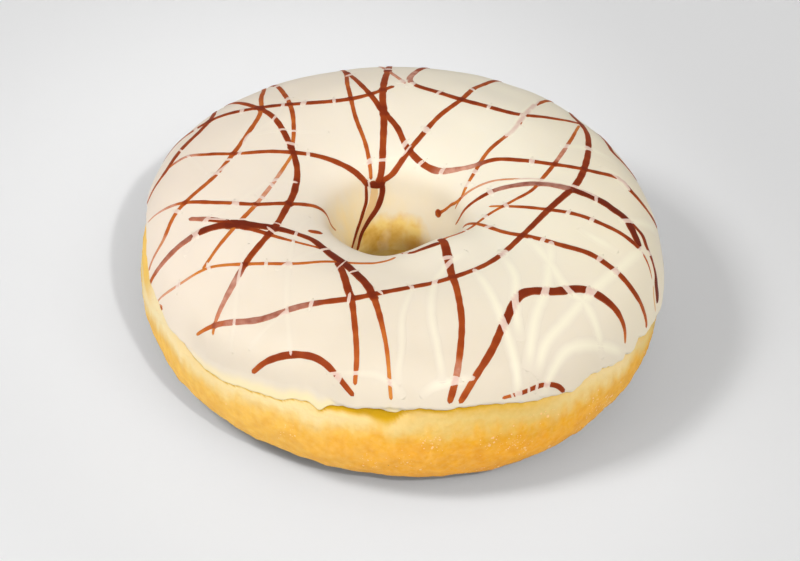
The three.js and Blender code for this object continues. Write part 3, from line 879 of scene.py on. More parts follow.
# Each thread has its widths from end to end, then the points that it runs through on the icing laid out
# flat: a point keeps its angle, and its distance from the middle is the crown's radius plus its way along
# the section
brown_threads = {
    "front_arc": ((0.85, 1.15, 1.2, 1.1, 1.0), [
        (-28.7, -40.2), (-24, -39), (-18.4, -39.3), (-14, -41.3), (-9.3, -46.7)]),
    "long_sweep": ((0.5, 1.15, 1.2, 1.15, 1.1, 1.1, 1.15, 1.25, 1.25, 1.2, 1.1, 1.0), [
        (-37.9, -30.1), (-32.8, -30.5), (-25.2, -31.9), (-18, -30.5), (-8.8, -29.5), (-3.2, -27.8),
        (4.4, -25.4), (11.2, -22), (16, -18.6), (21.4, -11.6), (26.4, -4.4), (31.4, 3.2), (33.8, 11.6),
        (34.6, 19.6), (33.6, 25.2), (32.2, 29.4), (33, 34.5)]),
    "lip_to_front": ((1.5, 1.6, 1.3, 1.2, 1.15, 1.15, 1.15), [
        (8.1, -12.4), (8.6, -14.2), (8.5, -18.4), (8.5, -22.4), (9, -26.8), (9.5, -34), (8.8, -41.2),
        (7.4, -47.4)]),
    "arch": ((1.05, 1.2, 1.5, 1.65, 1.7, 1.55, 0.6), [
        (9.2, -47.2), (11.2, -43.6), (14.4, -38.4), (16.8, -32.8), (20, -26.8), (26, -25), (31, -23.3),
        (36, -24.4), (39.6, -26.4), (41.3, -28.9)]),
    "low_arc": ((0.6, 0.8, 0.9, 0.95), [
        (16.8, -45.4), (20.4, -43.9), (24, -41.9), (27, -41.3), (29.3, -41.9)]),
    "front_run": ((1.3, 1.5, 1.4, 1.1, 1.05, 0.95, 0.75), [
        (-11.2, -19.5), (-10.5, -23), (-9.7, -27.4), (-8.9, -31), (-8.4, -40), (-8.9, -45)]),
    "heavy_sweep": ((0.9, 1.15, 1.4, 1.8, 2.05, 1.8, 1.55, 2.0, 2.1, 1.8, 1.5), [
        (-47.2, -15.3), (-42.4, -14.3), (-38.4, -11.8), (-34.4, -10), (-29.6, -9.8), (-24.8, -10.6),
        (-19.6, -11), (-15.6, -12.2), (-13.4, -15), (-10.9, -18.6), (-8.6, -22.2), (-6.4, -26),
        (-5.2, -29.7)]),
    "heavy_strand": ((1.2, 1.1, 0.8, 0.7), [(-28.6, -10.2), (-22.8, -13), (-18, -14.2), (-14, -15)]),
    "left_stub": ((1.0, 1.2, 1.2), [(-37.4, -6), (-32.8, -7.8), (-28.6, -10.2)]),
    "left_rise": ((0.6, 0.8, 0.95, 0.9, 0.9, 0.9, 0.9, 0.8), [
        (-46.2, -12.8), (-42.4, -9.6), (-39.4, -3.2), (-33.2, 3.2), (-29, 10.8), (-25.4, 19.2),
        (-24.4, 24), (-24.6, 29), (-24.4, 35), (-26, 41)]),
    "left_long": ((0.5, 1.2, 1.2, 1.2, 1.3, 1.25, 1.2, 1.1, 0.9), [
        (-33.8, -31.8), (-31.2, -27.2), (-26.8, -19.2), (-22.6, -11.7), (-20, -4), (-18.2, 2.8),
        (-18, 9.2), (-20.8, 17.6), (-23.8, 23.2), (-28.4, 28.6), (-33, 33.4)]),
    "left_into_hole": ((0.35, 0.85, 1.0, 1.0, 0.9, 0.3), [
        (-45.4, -2), (-39.2, -1.4), (-32, -3.5), (-26, -4.4), (-20, -2.4), (-14, 0.2), (-10.7, 0.9),
        (-6.7, 1.6)]),
    "left_cross": ((0.7, 0.9, 0.95, 1.0, 1.1, 1.1), [
        (-41.5, 11.2), (-37.8, 12.4), (-33.6, 11.2), (-28.4, 9.9), (-22, 11.1), (-15.2, 12.1),
        (-8.4, 11.5), (-5.9, 10.9), (-4.9, 10.4), (-4, 10.2)]),
    "left_flank": ((0.8, 1.1, 1.1, 1.0), [
        (-46.6, 5.2), (-42.4, 10), (-39.2, 15.6), (-35.6, 20.8), (-33.4, 26), (-33.8, 34)]),
    "back_cross": ((0.8, 1.1, 1.25, 1.2, 1.1, 0.9), [
        (-44.6, 18.6), (-38.4, 22), (-31.2, 24.5), (-24, 24.8), (-17.6, 25), (-10, 26.4), (-4.8, 28.2),
        (-0.2, 31)]),
    "back_left": ((0.8, 0.95, 0.9, 0.7), [
        (-26.6, 41.6), (-22.6, 36), (-20.4, 29.6), (-19, 23), (-18.6, 17), (-18.8, 12.4)]),
    "back_thin": ((0.75, 0.85, 0.85, 0.8), [
        (-11, 46), (-9.2, 39), (-8.8, 31.2), (-7.6, 23.2), (-5.2, 16.4), (-4, 11)]),
    "back_run": ((1.1, 1.3, 1.35, 1.3), [
        (-0.4, 47.6), (-1.2, 39.2), (-2.4, 28.8), (-2, 20.8), (-2.1, 13.6), (-2.7, 10.2)]),
    "back_to_right": ((0.9, 1.1, 1.15, 1.05, 1.0, 1.05, 1.1, 1.0), [
        (-9.2, 39.4), (-6, 30.8), (-2.8, 24.8), (0.4, 20.4), (2.8, 15.6), (7.6, 11.6), (13.2, 10.3),
        (18, 10.8), (22.8, 9.7), (28, 8.2), (34, 8.1), (39.4, 8.5), (42, 6), (45.4, 3.6), (49.6, 4.6)]),
    "hole_to_back": ((1.0, 1.05, 1.0, 1.0, 0.9), [
        (-2.4, 10.8), (0.4, 12.8), (4.4, 17.6), (7.8, 22.4), (11.6, 26.4), (14.4, 31.6), (17.6, 36.4),
        (21.6, 42.6)]),
    "back_hook": ((0.9, 1.15, 1.2, 1.2, 1.1, 0.9), [
        (8.6, 47.4), (5.4, 41), (2.7, 33), (7.6, 29), (14.4, 25.4), (21.6, 22.7), (27.2, 23.5),
        (33.8, 25.2)]),
    "back_stub": ((0.7, 0.85, 0.7), [(-2.8, 43), (-0.2, 36), (1.8, 31.8)]),
    "right_rise": ((0.8, 0.85, 0.85, 0.8, 0.6), [
        (31.4, 38.4), (26.8, 30.6), (24, 25.6), (21.2, 18.4), (16.8, 13.2), (14.4, 8.8), (12.2, 4.8)]),
    "right_heavy": ((0.4, 0.8, 1.1, 1.35, 1.75, 1.85, 1.7, 1.5), [
        (8.2, 2.2), (13.2, 2), (18.4, 3.4), (24, 3.2), (30, 1.5), (35.7, -0.1), (37.9, -1.5),
        (40, -3.2), (41.2, -6.3), (42.1, -9.1)]),
    "right_line": ((0.5, 0.85, 1.0, 1.05, 1.1), [
        (16.6, -0.7), (22, -3), (26.8, -4.8), (32.8, -5.8), (38, -7.4), (42.2, -9.6)]),
    "right_long": ((0.8, 1.05, 1.15, 1.3, 1.25, 0.8), [
        (12, -2.8), (14.5, -5.9), (18.1, -9.6), (21.4, -11.6), (26.8, -13.9), (32.6, -14.8),
        (36.3, -16.7), (40.2, -19.2), (43.2, -20.2), (46.3, -21.4), (47.4, -22.4)]),
    "spot": ((1.3, 1.4), [(-16.1, -9.4), (-13.3, -8.7)]),
    "back_flank": ((0.9, 1.0, 0.9), [(36.4, 30.6), (38.6, 21.5), (39.8, 17.8), (44.6, 14.4)]),
    "hidden_arc": ((0.9, 1.1, 0.9), [(27.4, 41.4), (21, 40.6), (13.6, 43), (7, 47.6)]),
    "hidden_loop": ((0.8, 1.0, 1.0, 0.8), [
        (-42.6, 25.6), (-36.4, 33.6), (-29.4, 39), (-18.6, 41.4), (-13, 46.6)]),
    "thin_run": ((1.4, 1.05, 0.8, 0.7, 0.6), [(-5.4, -28.6), (-4.2, -33.6), (-3.2, -40), (-2.7, -47.4)]),
    "left_thin": ((0.6, 0.85, 0.75, 0.6), [
        (-34.7, -19.1), (-29.4, -11.2), (-26, -5.4), (-22.4, 2.4), (-18.8, 11)]),
    "right_thin": ((0.6, 0.55, 0.45, 0.4), [(5.3, 5.0), (9, 5.4), (12, 4.8), (18, 5.7), (25.2, 4.2)]),
    "right_branch": ((0.3, 0.45), [(10, 4.2), (12.4, 4.8)]),
    "right_fall": ((0.5, 0.75, 0.8, 0.7, 0.5), [
        (33.2, 24), (31.2, 17.2), (28.4, 9.6), (26, 4.8), (23.9, 1.4), (20.9, -0.6), (17, -2.9), (15, -5),
        (13.4, -7.3), (11.2, -10.3), (8.6, -12.9)]),
    "right_strand": ((0.7, 1.0, 0.95, 0.9, 1.1, 1.9, 1.5), [
        (40.4, -3.4), (42, -4.6), (43.1, -5.7), (43.8, -7.9), (45.4, -10.1), (46.7, -11.6), (47.5, -13.1),
        (48.9, -14.4), (49.3, -15.7)]),
    "right_tail": ((0.5, 0.45, 0.3), [(42.4, -9.9), (43.5, -11.1), (44.1, -11.8), (45.5, -13.5)]),
    "right_olive": ((0.4, 0.7, 0.5), [(46.2, -14.1), (47.5, -15.9), (49.6, -17.3)]),
    "left_line": ((0.35, 0.5, 0.65, 0.8, 0.8, 0.8, 0.6), [
        (-44.2, -21.5), (-45.2, -19.8), (-39.2, -20.3), (-33, -19.1), (-26, -20), (-18.4, -20.6),
        (-12.8, -19.6), (-8.2, -19.2), (-4.9, -18.5), (-3.2, -17.8), (-1.5, -17), (-0.3, -16.2)]),
    "lip_thin": ((0.5, 0.85, 1.0, 1.0), [
        (0.7, -14.9), (2.6, -15.8), (4.3, -15.4), (6.1, -14.8), (8.1, -14)]),
    "left_blot": ((0.7, 0.8), [(-45.2, -20.9), (-44.4, -21.9)]),
    "thin_drop": ((1.55, 1.55), [(4.55, 4.75), (6.05, 5.25)]),
}

# Threads down the far wall of the hole, and the knot that they hang from: widths, then points as
# (degrees from +X, way into the hole)
hole_threads = {
    "knot": ((1.5, 1.5, 1.5, 1.5), [(112.6, 15.4), (108, 15.7), (103, 15.9), (97, 15.5)]),
    "run_right": ((1.3, 1.2, 1.1, 0.95, 0.8), [
        (100, 15.6), (100.4, 17.6), (103.6, 19.4), (108.9, 20.9), (120.5, 22.7), (131.6, 24.5), (139, 27)]),
    "run_between": ((1.4, 1.6, 1.6, 1.4, 1.0), [
        (107, 15.6), (108.6, 18), (113.6, 20.2), (123, 22.3), (134, 24.3), (147.5, 26.8)]),
    "run_left": ((0.6, 0.75, 0.8, 0.7, 0.6), [
        (115.2, 15), (115.6, 17), (117.2, 18.8), (122.2, 20.4), (128.5, 22), (140, 24.1), (150, 26)]),
}

# Threads that carry more or less chocolate than their width tells, and stretches under a milky film as
# (from, to, strength) with the ends as shares of the thread's length
thread_strength = {
    "arch": 0.88, "lip_to_front": 0.84, "back_run": 0.82, "heavy_sweep": 0.88, "long_sweep": 1.06,
    "low_arc": 1.3, "right_strand": 1.35, "right_tail": 1.6, "right_heavy": 1.35, "right_line": 1.12,
    "right_long": 0.9, "right_fall": 1.1, "run_left": 1.8, "run_right": 1.3, "knot": 0.92, "lip_thin": 1.45,
    "thin_drop": 0.5, "spot": 0.78, "thin_run": 0.84, "left_thin": 0.8, "left_line": 0.86,
    "left_rise": 0.9, "front_run": 0.9,
}
thread_films = {
    "long_sweep": (0.05, 0.20, 0.34), "left_long": (0.03, 0.16, 0.5), "heavy_sweep": (0.06, 0.23, 0.3),
    "left_rise": (0.0, 0.11, 0.45), "left_into_hole": (0.0, 0.15, 0.6), "left_cross": (0.03, 0.16, 0.5),
    "back_to_right": (0.43, 0.53, 0.55), "right_rise": (0.54, 0.64, 0.5), "right_thin": (0.35, 0.85, 0.5),
    "right_fall": (0.20, 0.34, 0.5), "left_line": (0.0, 0.24, 0.5), "left_thin": (0.5, 0.85, 0.5),
    "lip_to_front": (0.80, 0.88, 0.4), "left_stub": (0.0, 0.35, 0.3), "back_stub": (0.0, 1.0, 0.55),
    "back_hook": (0.22, 0.34, 0.55), "right_heavy": (0.25, 0.58, 0.36),
}
film_fade = 0.02

# Smears that are no more than a tan stain, as a share, and lie lower than a thread
tan_smears = {"run_between": 0.9, "right_olive": 0.8}
smear_rise_share = 0.3

# A thread's mesh: its even steps, how it rises from its edges and is rooted in the coat, its places across
# from edge to edge, its round tips and its uneven width
thread_step = 0.35
least_stations = 6
thread_rise = 0.09
thread_flatness = 4
most_swell = 1.4
thread_root = 0.3
thread_root_sides = [0.8, -0.8]
thread_edge_sink = -0.02
thread_across = np.array([-1, -0.92, -0.7, -0.35, 0, 0.35, 0.7, 0.92, 1])
thread_tip_widths = 0.7
least_tip = 0.3
least_half_width = 0.03
thread_width_waver = 0.09
waver_lengths = (2.3, 3.7, 7.1)
thread_seed = 41

# Threads widen where they cross and run together, but for drops with round ends. The fade is in half widths
# of the crossed thread.
crossing_swell = 0.25
crossing_fade = (0.7, 1.2)
far_away = 9.0
round_ended = ["thin_drop", "spot"]


def waver(way, draw):
    """Gentle unevenness of about one unit along a thread"""
    phases = draw.uniform(0, full_turn, len(waver_lengths))
    waves = [np.sin(way * full_turn / length + phase) for length, phase in zip(waver_lengths, phases)]
    return sum(waves) / len(waves)


def thread_stations(widths, line, draw):
    """At even stations of a thread: angle, way along the section, half width to its tips and full width"""
    spots = point_above(line[:, 0], line[:, 1], np.full(len(line), icing_top))
    way = way_along(spots)
    count = max(least_stations, int(way[-1] / thread_step))
    stations = np.linspace(0, way[-1], count)
    angle = np.interp(stations, way, line[:, 0])
    reach = np.interp(stations, way, line[:, 1])
    spread = smooth_curve([[value] for value in widths])[:, 0]
    width = np.interp(stations, np.linspace(0, way[-1], len(spread)), spread)
    width = width * (1 + thread_width_waver * waver(stations, draw))
    tip = np.clip(thread_tip_widths * width, least_tip, way[-1] / 2)
    ends = np.minimum(stations, way[-1] - stations)
    return angle, reach, np.maximum(width / 2 * rim_round(ends, tip), least_half_width), width


def flat_line(points):
    """Fine line of (angle, way along the section) through points of the flat layout"""
    line = smooth_curve(points)
    angle = np.unwrap(np.arctan2(line[:, 1], line[:, 0]))
    return np.stack([angle, np.hypot(line[:, 0], line[:, 1]) - crown_radius], -1)


def hole_line(points):
    """Fine line of (angle, way along the section) down the wall of the hole"""
    return smooth_curve([(math.radians(degrees), -depth) for degrees, depth in points])


def across_thread(angle, reach, half, shares):
    """Angles and ways along the section of the places across a thread at each station"""
    radius = section_at(reach)[0]
    along_reach = np.gradient(reach)
    along_angle = np.gradient(angle) * radius
    length = np.maximum(np.hypot(along_reach, along_angle), least_length)
    side_reach = -along_angle / length
    side_angle = along_reach / length / radius
    offset = half[:, None] * shares[None, :]
    return angle[:, None] + side_angle[:, None] * offset, reach[:, None] + side_reach[:, None] * offset


def thread_faces(stations, corners, first):
    """Faces of a closed strand of stations with corners round each, and its two ends"""
    station, corner = np.meshgrid(np.arange(stations - 1), np.arange(corners), indexing="ij")
    after = (corner + 1) % corners
    quads = [station * corners + corner, station * corners + after]
    quads += [(station + 1) * corners + after, (station + 1) * corners + corner]
    faces = (np.stack(quads, -1).reshape(-1, 4) + first).tolist()
    last = first + (stations - 1) * corners
    faces.append(list(range(first, first + corners))[::-1])
    faces.append(list(range(last, last + corners)))
    return faces


def thread_swell(half):
    """How much of the full rise a thread of that half width has"""
    return np.minimum(half * 2, most_swell)


draw = np.random.default_rng(thread_seed)
thread_names = [*brown_threads, *hole_threads]
thread_lines = [(widths, flat_line(points)) for widths, points in brown_threads.values()]
thread_lines += [(widths, hole_line(points)) for widths, points in hole_threads.values()]
threads = [thread_stations(widths, line, draw) for widths, line in thread_lines]
centres = np.concatenate([point_above(a, r, icing_height(a, r)) for a, r, half, width in threads])
halves = np.concatenate([half for a, r, half, width in threads])
owners = np.concatenate([np.full(len(half), i) for i, (a, r, half, width) in enumerate(threads)])


def nearest_thread(spots, skip=None):
    """Distance from spots to the nearest brown thread, in its half widths, and that half width"""
    batch = 1500
    nearest = np.full(len(spots), far_away)
    found = np.zeros(len(spots))
    for first in range(0, len(spots), batch):
        part = spots[first : first + batch]
        away = np.linalg.norm(part[:, None, :] - centres[None, :, :], axis=2) / halves[None, :]
        if skip is not None:
            away = np.where(owners[None, :] == skip[first : first + batch, None], far_away, away)
        best = away.argmin(axis=1)
        nearest[first : first + batch] = away[np.arange(len(part)), best]
        found[first : first + batch] = halves[best]
    return nearest, found


crossing = 1 - ease(nearest_thread(centres, owners)[0], *crossing_fade)
corner_shares = np.concatenate([thread_across, thread_root_sides])
lifted = thread_rise * (1 - thread_across**thread_flatness)
profile = np.where(np.abs(thread_across) == 1, thread_edge_sink, lifted)
profile = np.concatenate([profile, [-thread_root, -thread_root]])
strand_points = []
strand_faces = []
strand_measures = {"thickness": [], "crossing": [], "edge": [], "film": [], "tan": []}
first_point = 0
first_station = 0
for name, (angle, reach, half, width) in zip(thread_names, threads):
    run_together = crossing[first_station : first_station + len(half)]
    if name in brown_threads and name not in round_ended:
        half = half * (1 + crossing_swell * run_together)
    side_angle, side_reach = across_thread(angle, reach, half, corner_shares)
    low = smear_rise_share if name in tan_smears else 1
    rise = low * profile[None, :] * thread_swell(half)[:, None] + icing_height(side_angle, side_reach)
    count, corners = rise.shape
    share = np.linspace(0, 1, count)
    film_from, film_to, film_strength = thread_films.get(name, (0, 0, 0))
    film = ease(share, film_from - film_fade, film_from + film_fade)
    film = film_strength * film * (1 - ease(share, film_to - film_fade, film_to + film_fade))
    strand_points.append(point_above(side_angle, side_reach, rise).reshape(-1, 3))
    strand_faces += thread_faces(count, corners, first_point)
    thickness = width * thread_strength.get(name, 1.0)
    strand_measures["thickness"].append(np.repeat(thickness, corners))
    strand_measures["crossing"].append(np.repeat(run_together, corners))
    strand_measures["edge"].append(np.tile(np.abs(corner_shares), count))
    strand_measures["film"].append(np.repeat(film, corners))
    strand_measures["tan"].append(np.full(count * corners, tan_smears.get(name, 0.0)))
    first_point += count * corners
    first_station += count

# Colour by how thick the chocolate lies, as a share of the full thickness, with what streaks and crossings
# add to that, and the paler edges and the milky film
depth_full = 1.8
streak_amount = 0.22
crossing_depth = 0.18
edge_from = (0.7, 1.0)
edge_most = 0.5
film_least = 0.45
drizzle_stops = [
    (0.22, colour(207, 130, 56)),
    (0.40, colour(188, 97, 38)),
    (0.55, colour(156, 66, 24)),
    (0.75, colour(130, 47, 18)),
    (1.00, colour(110, 38, 18)),
]
drizzle_edge = colour(204, 122, 62)
drizzle_film = colour(218, 168, 146)
drizzle_tan = colour(234, 198, 142)

drizzle_finish, tree, shader = new_finish("chocolate drizzle", roughness=0.5, gloss=0.08)
streak = placed(tree, blotches, Size=0.004, Detail=3.0, Contrast=1.8)
streak_share = swing(tree, streak, streak_amount)
depth = sums(tree, "DIVIDE", measure(tree, "thickness"), depth_full)
depth = sums(tree, "ADD", depth, sums(tree, "MULTIPLY", measure(tree, "crossing"), crossing_depth))
browned = ramp(tree, sums(tree, "ADD", depth, streak_share), drizzle_stops)
edge_share = sums(tree, "MULTIPLY", between(tree, measure(tree, "edge"), *edge_from), edge_most)
edged = mixed(tree, edge_share, browned, drizzle_edge)
mottle = placed(tree, blotches, Size=0.0014, Detail=3.0, Contrast=2.4)
film_share = sums(tree, "MULTIPLY", measure(tree, "film"), sums(tree, "ADD", mottle, film_least))
filmed = mixed(tree, film_share, edged, drizzle_film)
tree.links.new(mixed(tree, measure(tree, "tan"), filmed, drizzle_tan), shader.inputs["Base Color"])
roughen(tree, shader, strength=0.15, distance=0.0001, Size=0.0008, Fineness=3.0)
brown_drizzle = make_piece(
    "brown_drizzle",
    np.concatenate(strand_points),
    strand_faces,
    {key: np.concatenate(values) for key, values in strand_measures.items()},
    drizzle_finish,
)
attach(brown_drizzle, "root")
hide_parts("icing")

# The pale drizzle: a last thin flick of the coat's own icing over the brown threads. It sinks in where it
# falls on the coat and shows as faint cream lines, and it cuts the brown threads with pinkish white bars.
pale_threads = {
    "right_edge_to_front": ((0.9, 1.05, 1.0, 0.9), [
        (43.3, -8.5), (40.5, -12.5), (37.4, -17), (32.2, -23.7), (27.5, -30.4), (23.7, -35.7), (22.4, -41)]),
    "arch_to_right_edge": ((0.8, 1.0, 1.0, 0.9), [
        (22.3, -12.6), (25, -18.5), (28.1, -24.1), (31.2, -26.2), (34.1, -31.2), (36, -34)]),
    "right_rim_sweep": ((0.9, 1.1, 1.0, 0.9), [
        (42.5, -30.4), (34.5, -32.2), (28.3, -34.9), (25.6, -38.9), (24.5, -44)]),
    "right_fan_outer": ((0.8, 1.0, 1.0, 0.9), [
        (26, -13.4), (25.2, -19), (24.2, -24.9), (22, -31.6), (20.6, -40.5)]),
    "right_fan_middle": ((0.8, 0.9, 0.9), [(17.4, -17.2), (19, -23), (18.7, -28.8), (19.3, -36)]),
    "right_fan_inner": ((0.8, 0.95, 0.95, 0.8), [
        (12.3, -21.1), (14.5, -27), (16.6, -33.2), (18.5, -40), (20.0, -45.6)]),
    "middle_drop": ((0.8, 0.9, 0.9, 0.8), [
        (12, -15.9), (8.5, -19.5), (5.4, -25), (4.4, -32), (5.2, -38), (6.2, -44.6)]),
    "middle_line": ((0.7, 0.9, 0.8), [
        (1.6, -26.1), (-0.4, -33), (-0.7, -39.3), (-1.3, -42.9), (-1.2, -45.3)]),
    "front_loop_left": ((0.8, 0.95, 1.0, 1.1), [
        (-14, -42.9), (-8.8, -43.2), (-5.2, -43.6), (-2.7, -44.8), (-1.2, -46.1), (-0.4, -47.2)]),
    "front_loop_right": ((1.0, 0.9, 0.9, 0.7), [
        (2.3, -46.8), (3.4, -45.8), (5.1, -44.8), (8.1, -44), (11.6, -42.9)]),
    "front_left_tick": ((0.8, 0.8), [(-20, -30.8), (-27.5, -36.5)]),
    "lip_tick": ((0.5, 0.5, 0.5), [(-9, -17.5), (-10.4, -20.2), (-12, -23)]),
    "left_lip_slant": ((0.8, 1.1, 0.8), [(-22, -22), (-13.7, -15.6), (-8, -12)]),
    "left_long_drop": ((0.8, 0.95, 1.0, 0.8), [
        (-15.5, -4), (-18.3, -11.4), (-19.7, -20.3), (-20.2, -30.8), (-19.8, -39.2)]),
    "heavy_cover": ((0.7, 0.7, 0.7, 0.6), [
        (-34, -7.3), (-29.8, -8.6), (-25, -8.9), (-21.5, -9.3), (-18.3, -10.2)]),
    "left_zigzag": ((0.8, 1.1, 1.0, 0.9), [
        (-38, -15), (-36, -10.7), (-34, -7.3), (-29, -4.2), (-22.1, 3.3), (-17.7, 4.3)]),
    "left_drop": ((0.7, 0.9, 0.7), [(-26.5, -15), (-28.4, -22.9), (-29.4, -31.2), (-31, -36)]),
    "left_back_tick": ((0.7, 0.9, 0.7), [(-34, 5), (-37.7, 12.5), (-39.5, 16.3)]),
    "left_back_rise": ((0.8, 0.9, 0.9, 0.8), [
        (-36, 2), (-32.1, 5.0), (-28.3, 9.8), (-26.7, 15), (-22.3, 19.8), (-19.6, 27.9)]),
    "back_left_cross": ((0.7, 0.8, 0.7), [(-26.9, 15), (-20.8, 17.1), (-18.7, 17.1), (-12, 18)]),
    "far_lip_slant": ((0.4, 0.6, 0.6, 0.4), [
        (-5.2, 12.9), (-3.3, 13.8), (-1, 14.2), (1.5, 14.8), (3.2, 16.5)]),
    "back_right_drop": ((0.7, 0.9, 0.9, 0.7), [
        (26, 31), (24.3, 26.5), (23, 23.5), (21, 18.5), (19.6, 16.2)]),
    "right_cover": ((0.5, 0.7, 0.7, 0.5), [
        (17.1, 4.4), (22, 4.6), (26.5, 3.4), (31.2, 2.2), (35.2, 0.6)]),
    "right_back_tick": ((0.8, 1.0, 0.7), [(29, 14), (34.6, 15.6), (40, 14)]),
    "right_edge_tick": ((0.8, 1.0, 0.7), [(36, 10.5), (39.6, 8.7), (41.5, 6)]),
    "right_knot_tick": ((0.7, 1.0, 1.2, 0.8), [
        (38.6, -4.3), (40.8, -3.4), (43.5, -1.9), (46.5, 0.2), (49, 2.2)]),
    "right_middle_slant": ((0.5, 0.9, 0.7), [(30.8, -9), (32.9, -10.2), (35.5, -11.5), (38, -12.7)]),
}
pale_hole_threads = {"wall_strand": ((0.4, 0.6, 0.5, 0.3), [(113, 14), (112.2, 15.6), (111.4, 17.2)])}

# Short bars where a pale thread cuts a brown one: (place on the flat layout, width)
pale_bars = [
    ((-12.1, -44.0), 1.3), ((-16.0, -30.3), 0.7), ((17.7, -16.6), 2.0), ((8.3, -18.1), 0.9),
    ((8.5, -43.6), 0.9), ((24.1, -25.4), 0.8), ((-36.0, -10.6), 0.9), ((-33.8, -7.4), 0.8),
    ((-39.4, -3.4), 0.9), ((-32.2, 4.6), 0.8), ((-30.2, 8.3), 0.6), ((-29.0, -4.2), 1.2),
    ((-36.6, 22.8), 0.9), ((-27.9, 24.8), 0.8), ((-20.5, 24.8), 0.6), ((-16.9, 25.0), 1.0),
    ((-11.4, 26.0), 0.6), ((-21.9, 34.4), 1.0), ((-19.7, 27.0), 0.9), ((-19.0, 13.8), 0.7),
    ((-15.8, 12.1), 0.7), ((-4.5, 13.6), 0.6), ((-1.2, 39.4), 0.9), ((-8.3, 37.0), 0.8),
    ((2.0, 16.8), 0.9), ((5.0, 13.3), 0.6), ((8.8, 11.2), 0.9), ((24.1, 9.3), 1.0),
    ((14.6, 8.8), 0.8), ((5.7, 19.5), 1.2), ((7.9, 28.8), 0.6), ((16.7, 24.6), 0.7),
    ((13.7, 30.8), 0.7), ((13.2, 6.7), 1.1), ((17.0, 3.1), 0.9), ((29.4, -5.4), 0.7),
    ((33.5, -6.1), 0.8), ((40.4, -3.6), 0.8), ((16.3, -7.8), 1.0), ((24.6, -13.2), 0.8),
    ((34.5, -15.2), 1.0), ((34.4, 15.7), 1.2), ((-24.6, -2.2), 0.9), ((-22.6, 1.8), 0.9),
    ((-33.6, -19.1), 0.7), ((-39.4, -20.6), 0.9), ((-23.6, -20.3), 0.6), ((-19.7, -20.6), 1.0),
    ((19.4, -1.6), 0.7), ((16.0, -3.9), 0.9), ((12.6, -8.5), 0.7), ((1.8, -15.2), 1.2),
    ((21.6, 19.2), 0.8), ((-9.5, -29.6), 0.6), ((-22.7, -11.8), 0.6), ((28.2, -24.3), 0.7),
    ((32.0, -23.4), 1.3), ((43.6, -9.3), 1.2), ((34.7, 0.0), 0.6), ((37.1, -17.3), 0.7),
    ((18.9, -45.0), 0.5), ((20.2, -44.1), 0.5), ((21.6, -43.3), 0.5), ((23.0, -42.4), 0.5),
    ((1.2, 32.6), 1.5), ((2.8, 31.4), 1.3), ((-8.4, -22.4), 0.5), ((-4.4, -27.6), 0.6),
    ((1.2, -26.4), 0.6),
]
bar_length = 2.6
bar_end_share = 0.6
bar_slant = 25
bar_stations = 2
pale_seed = 43

# The pale threads widen and show more to the right: each as the value on the left and what the right adds.
# Only the core of a thread cuts a brown one, and its ends fade out.
pale_widening = (1.2, 1.3)
pale_shown = (0.08, 0.4)
pale_shown_from = (-12, 20)
pale_core = (0.4, 0.7)
pale_end_fade = 4.0

# How they lie on the coat and over a brown thread, with fades in half widths of that thread
pale_rise = 0.004
pale_lift = 0.012
pale_edge_sink = -0.04
pale_over_brown = 0.03
over_fade = (1.0, 1.5)
rosy_fade = (0.75, 1.15)
pale_root_sides = [0.7, -0.7]
pale_across = np.array([-1, -0.97, -0.94, -0.75, -0.4, 0, 0.4, 0.75, 0.94, 0.97, 1])


def bar_line(place, slant):
    """Points of a short stroke across the brown thread that is nearest to a place of the flat layout"""
    flat_lines = [np.stack([r + crown_radius, a], -1) for a, r, half, width in threads]
    flat = np.concatenate(flat_lines)
    spots = np.stack([flat[:, 0] * np.cos(flat[:, 1]), flat[:, 0] * np.sin(flat[:, 1])], -1)
    nearest = np.linalg.norm(spots - np.asarray(place), axis=1).argmin()
    before = max(nearest - bar_stations, 0)
    after = min(nearest + bar_stations, len(spots) - 1)
    along = math.atan2(*(spots[after] - spots[before])[::-1])
    way = along + math.pi / 2 + math.radians(slant)
    step = bar_length / 2 * np.array([math.cos(way), math.sin(way)])
    return [place - step, np.asarray(place), place + step]


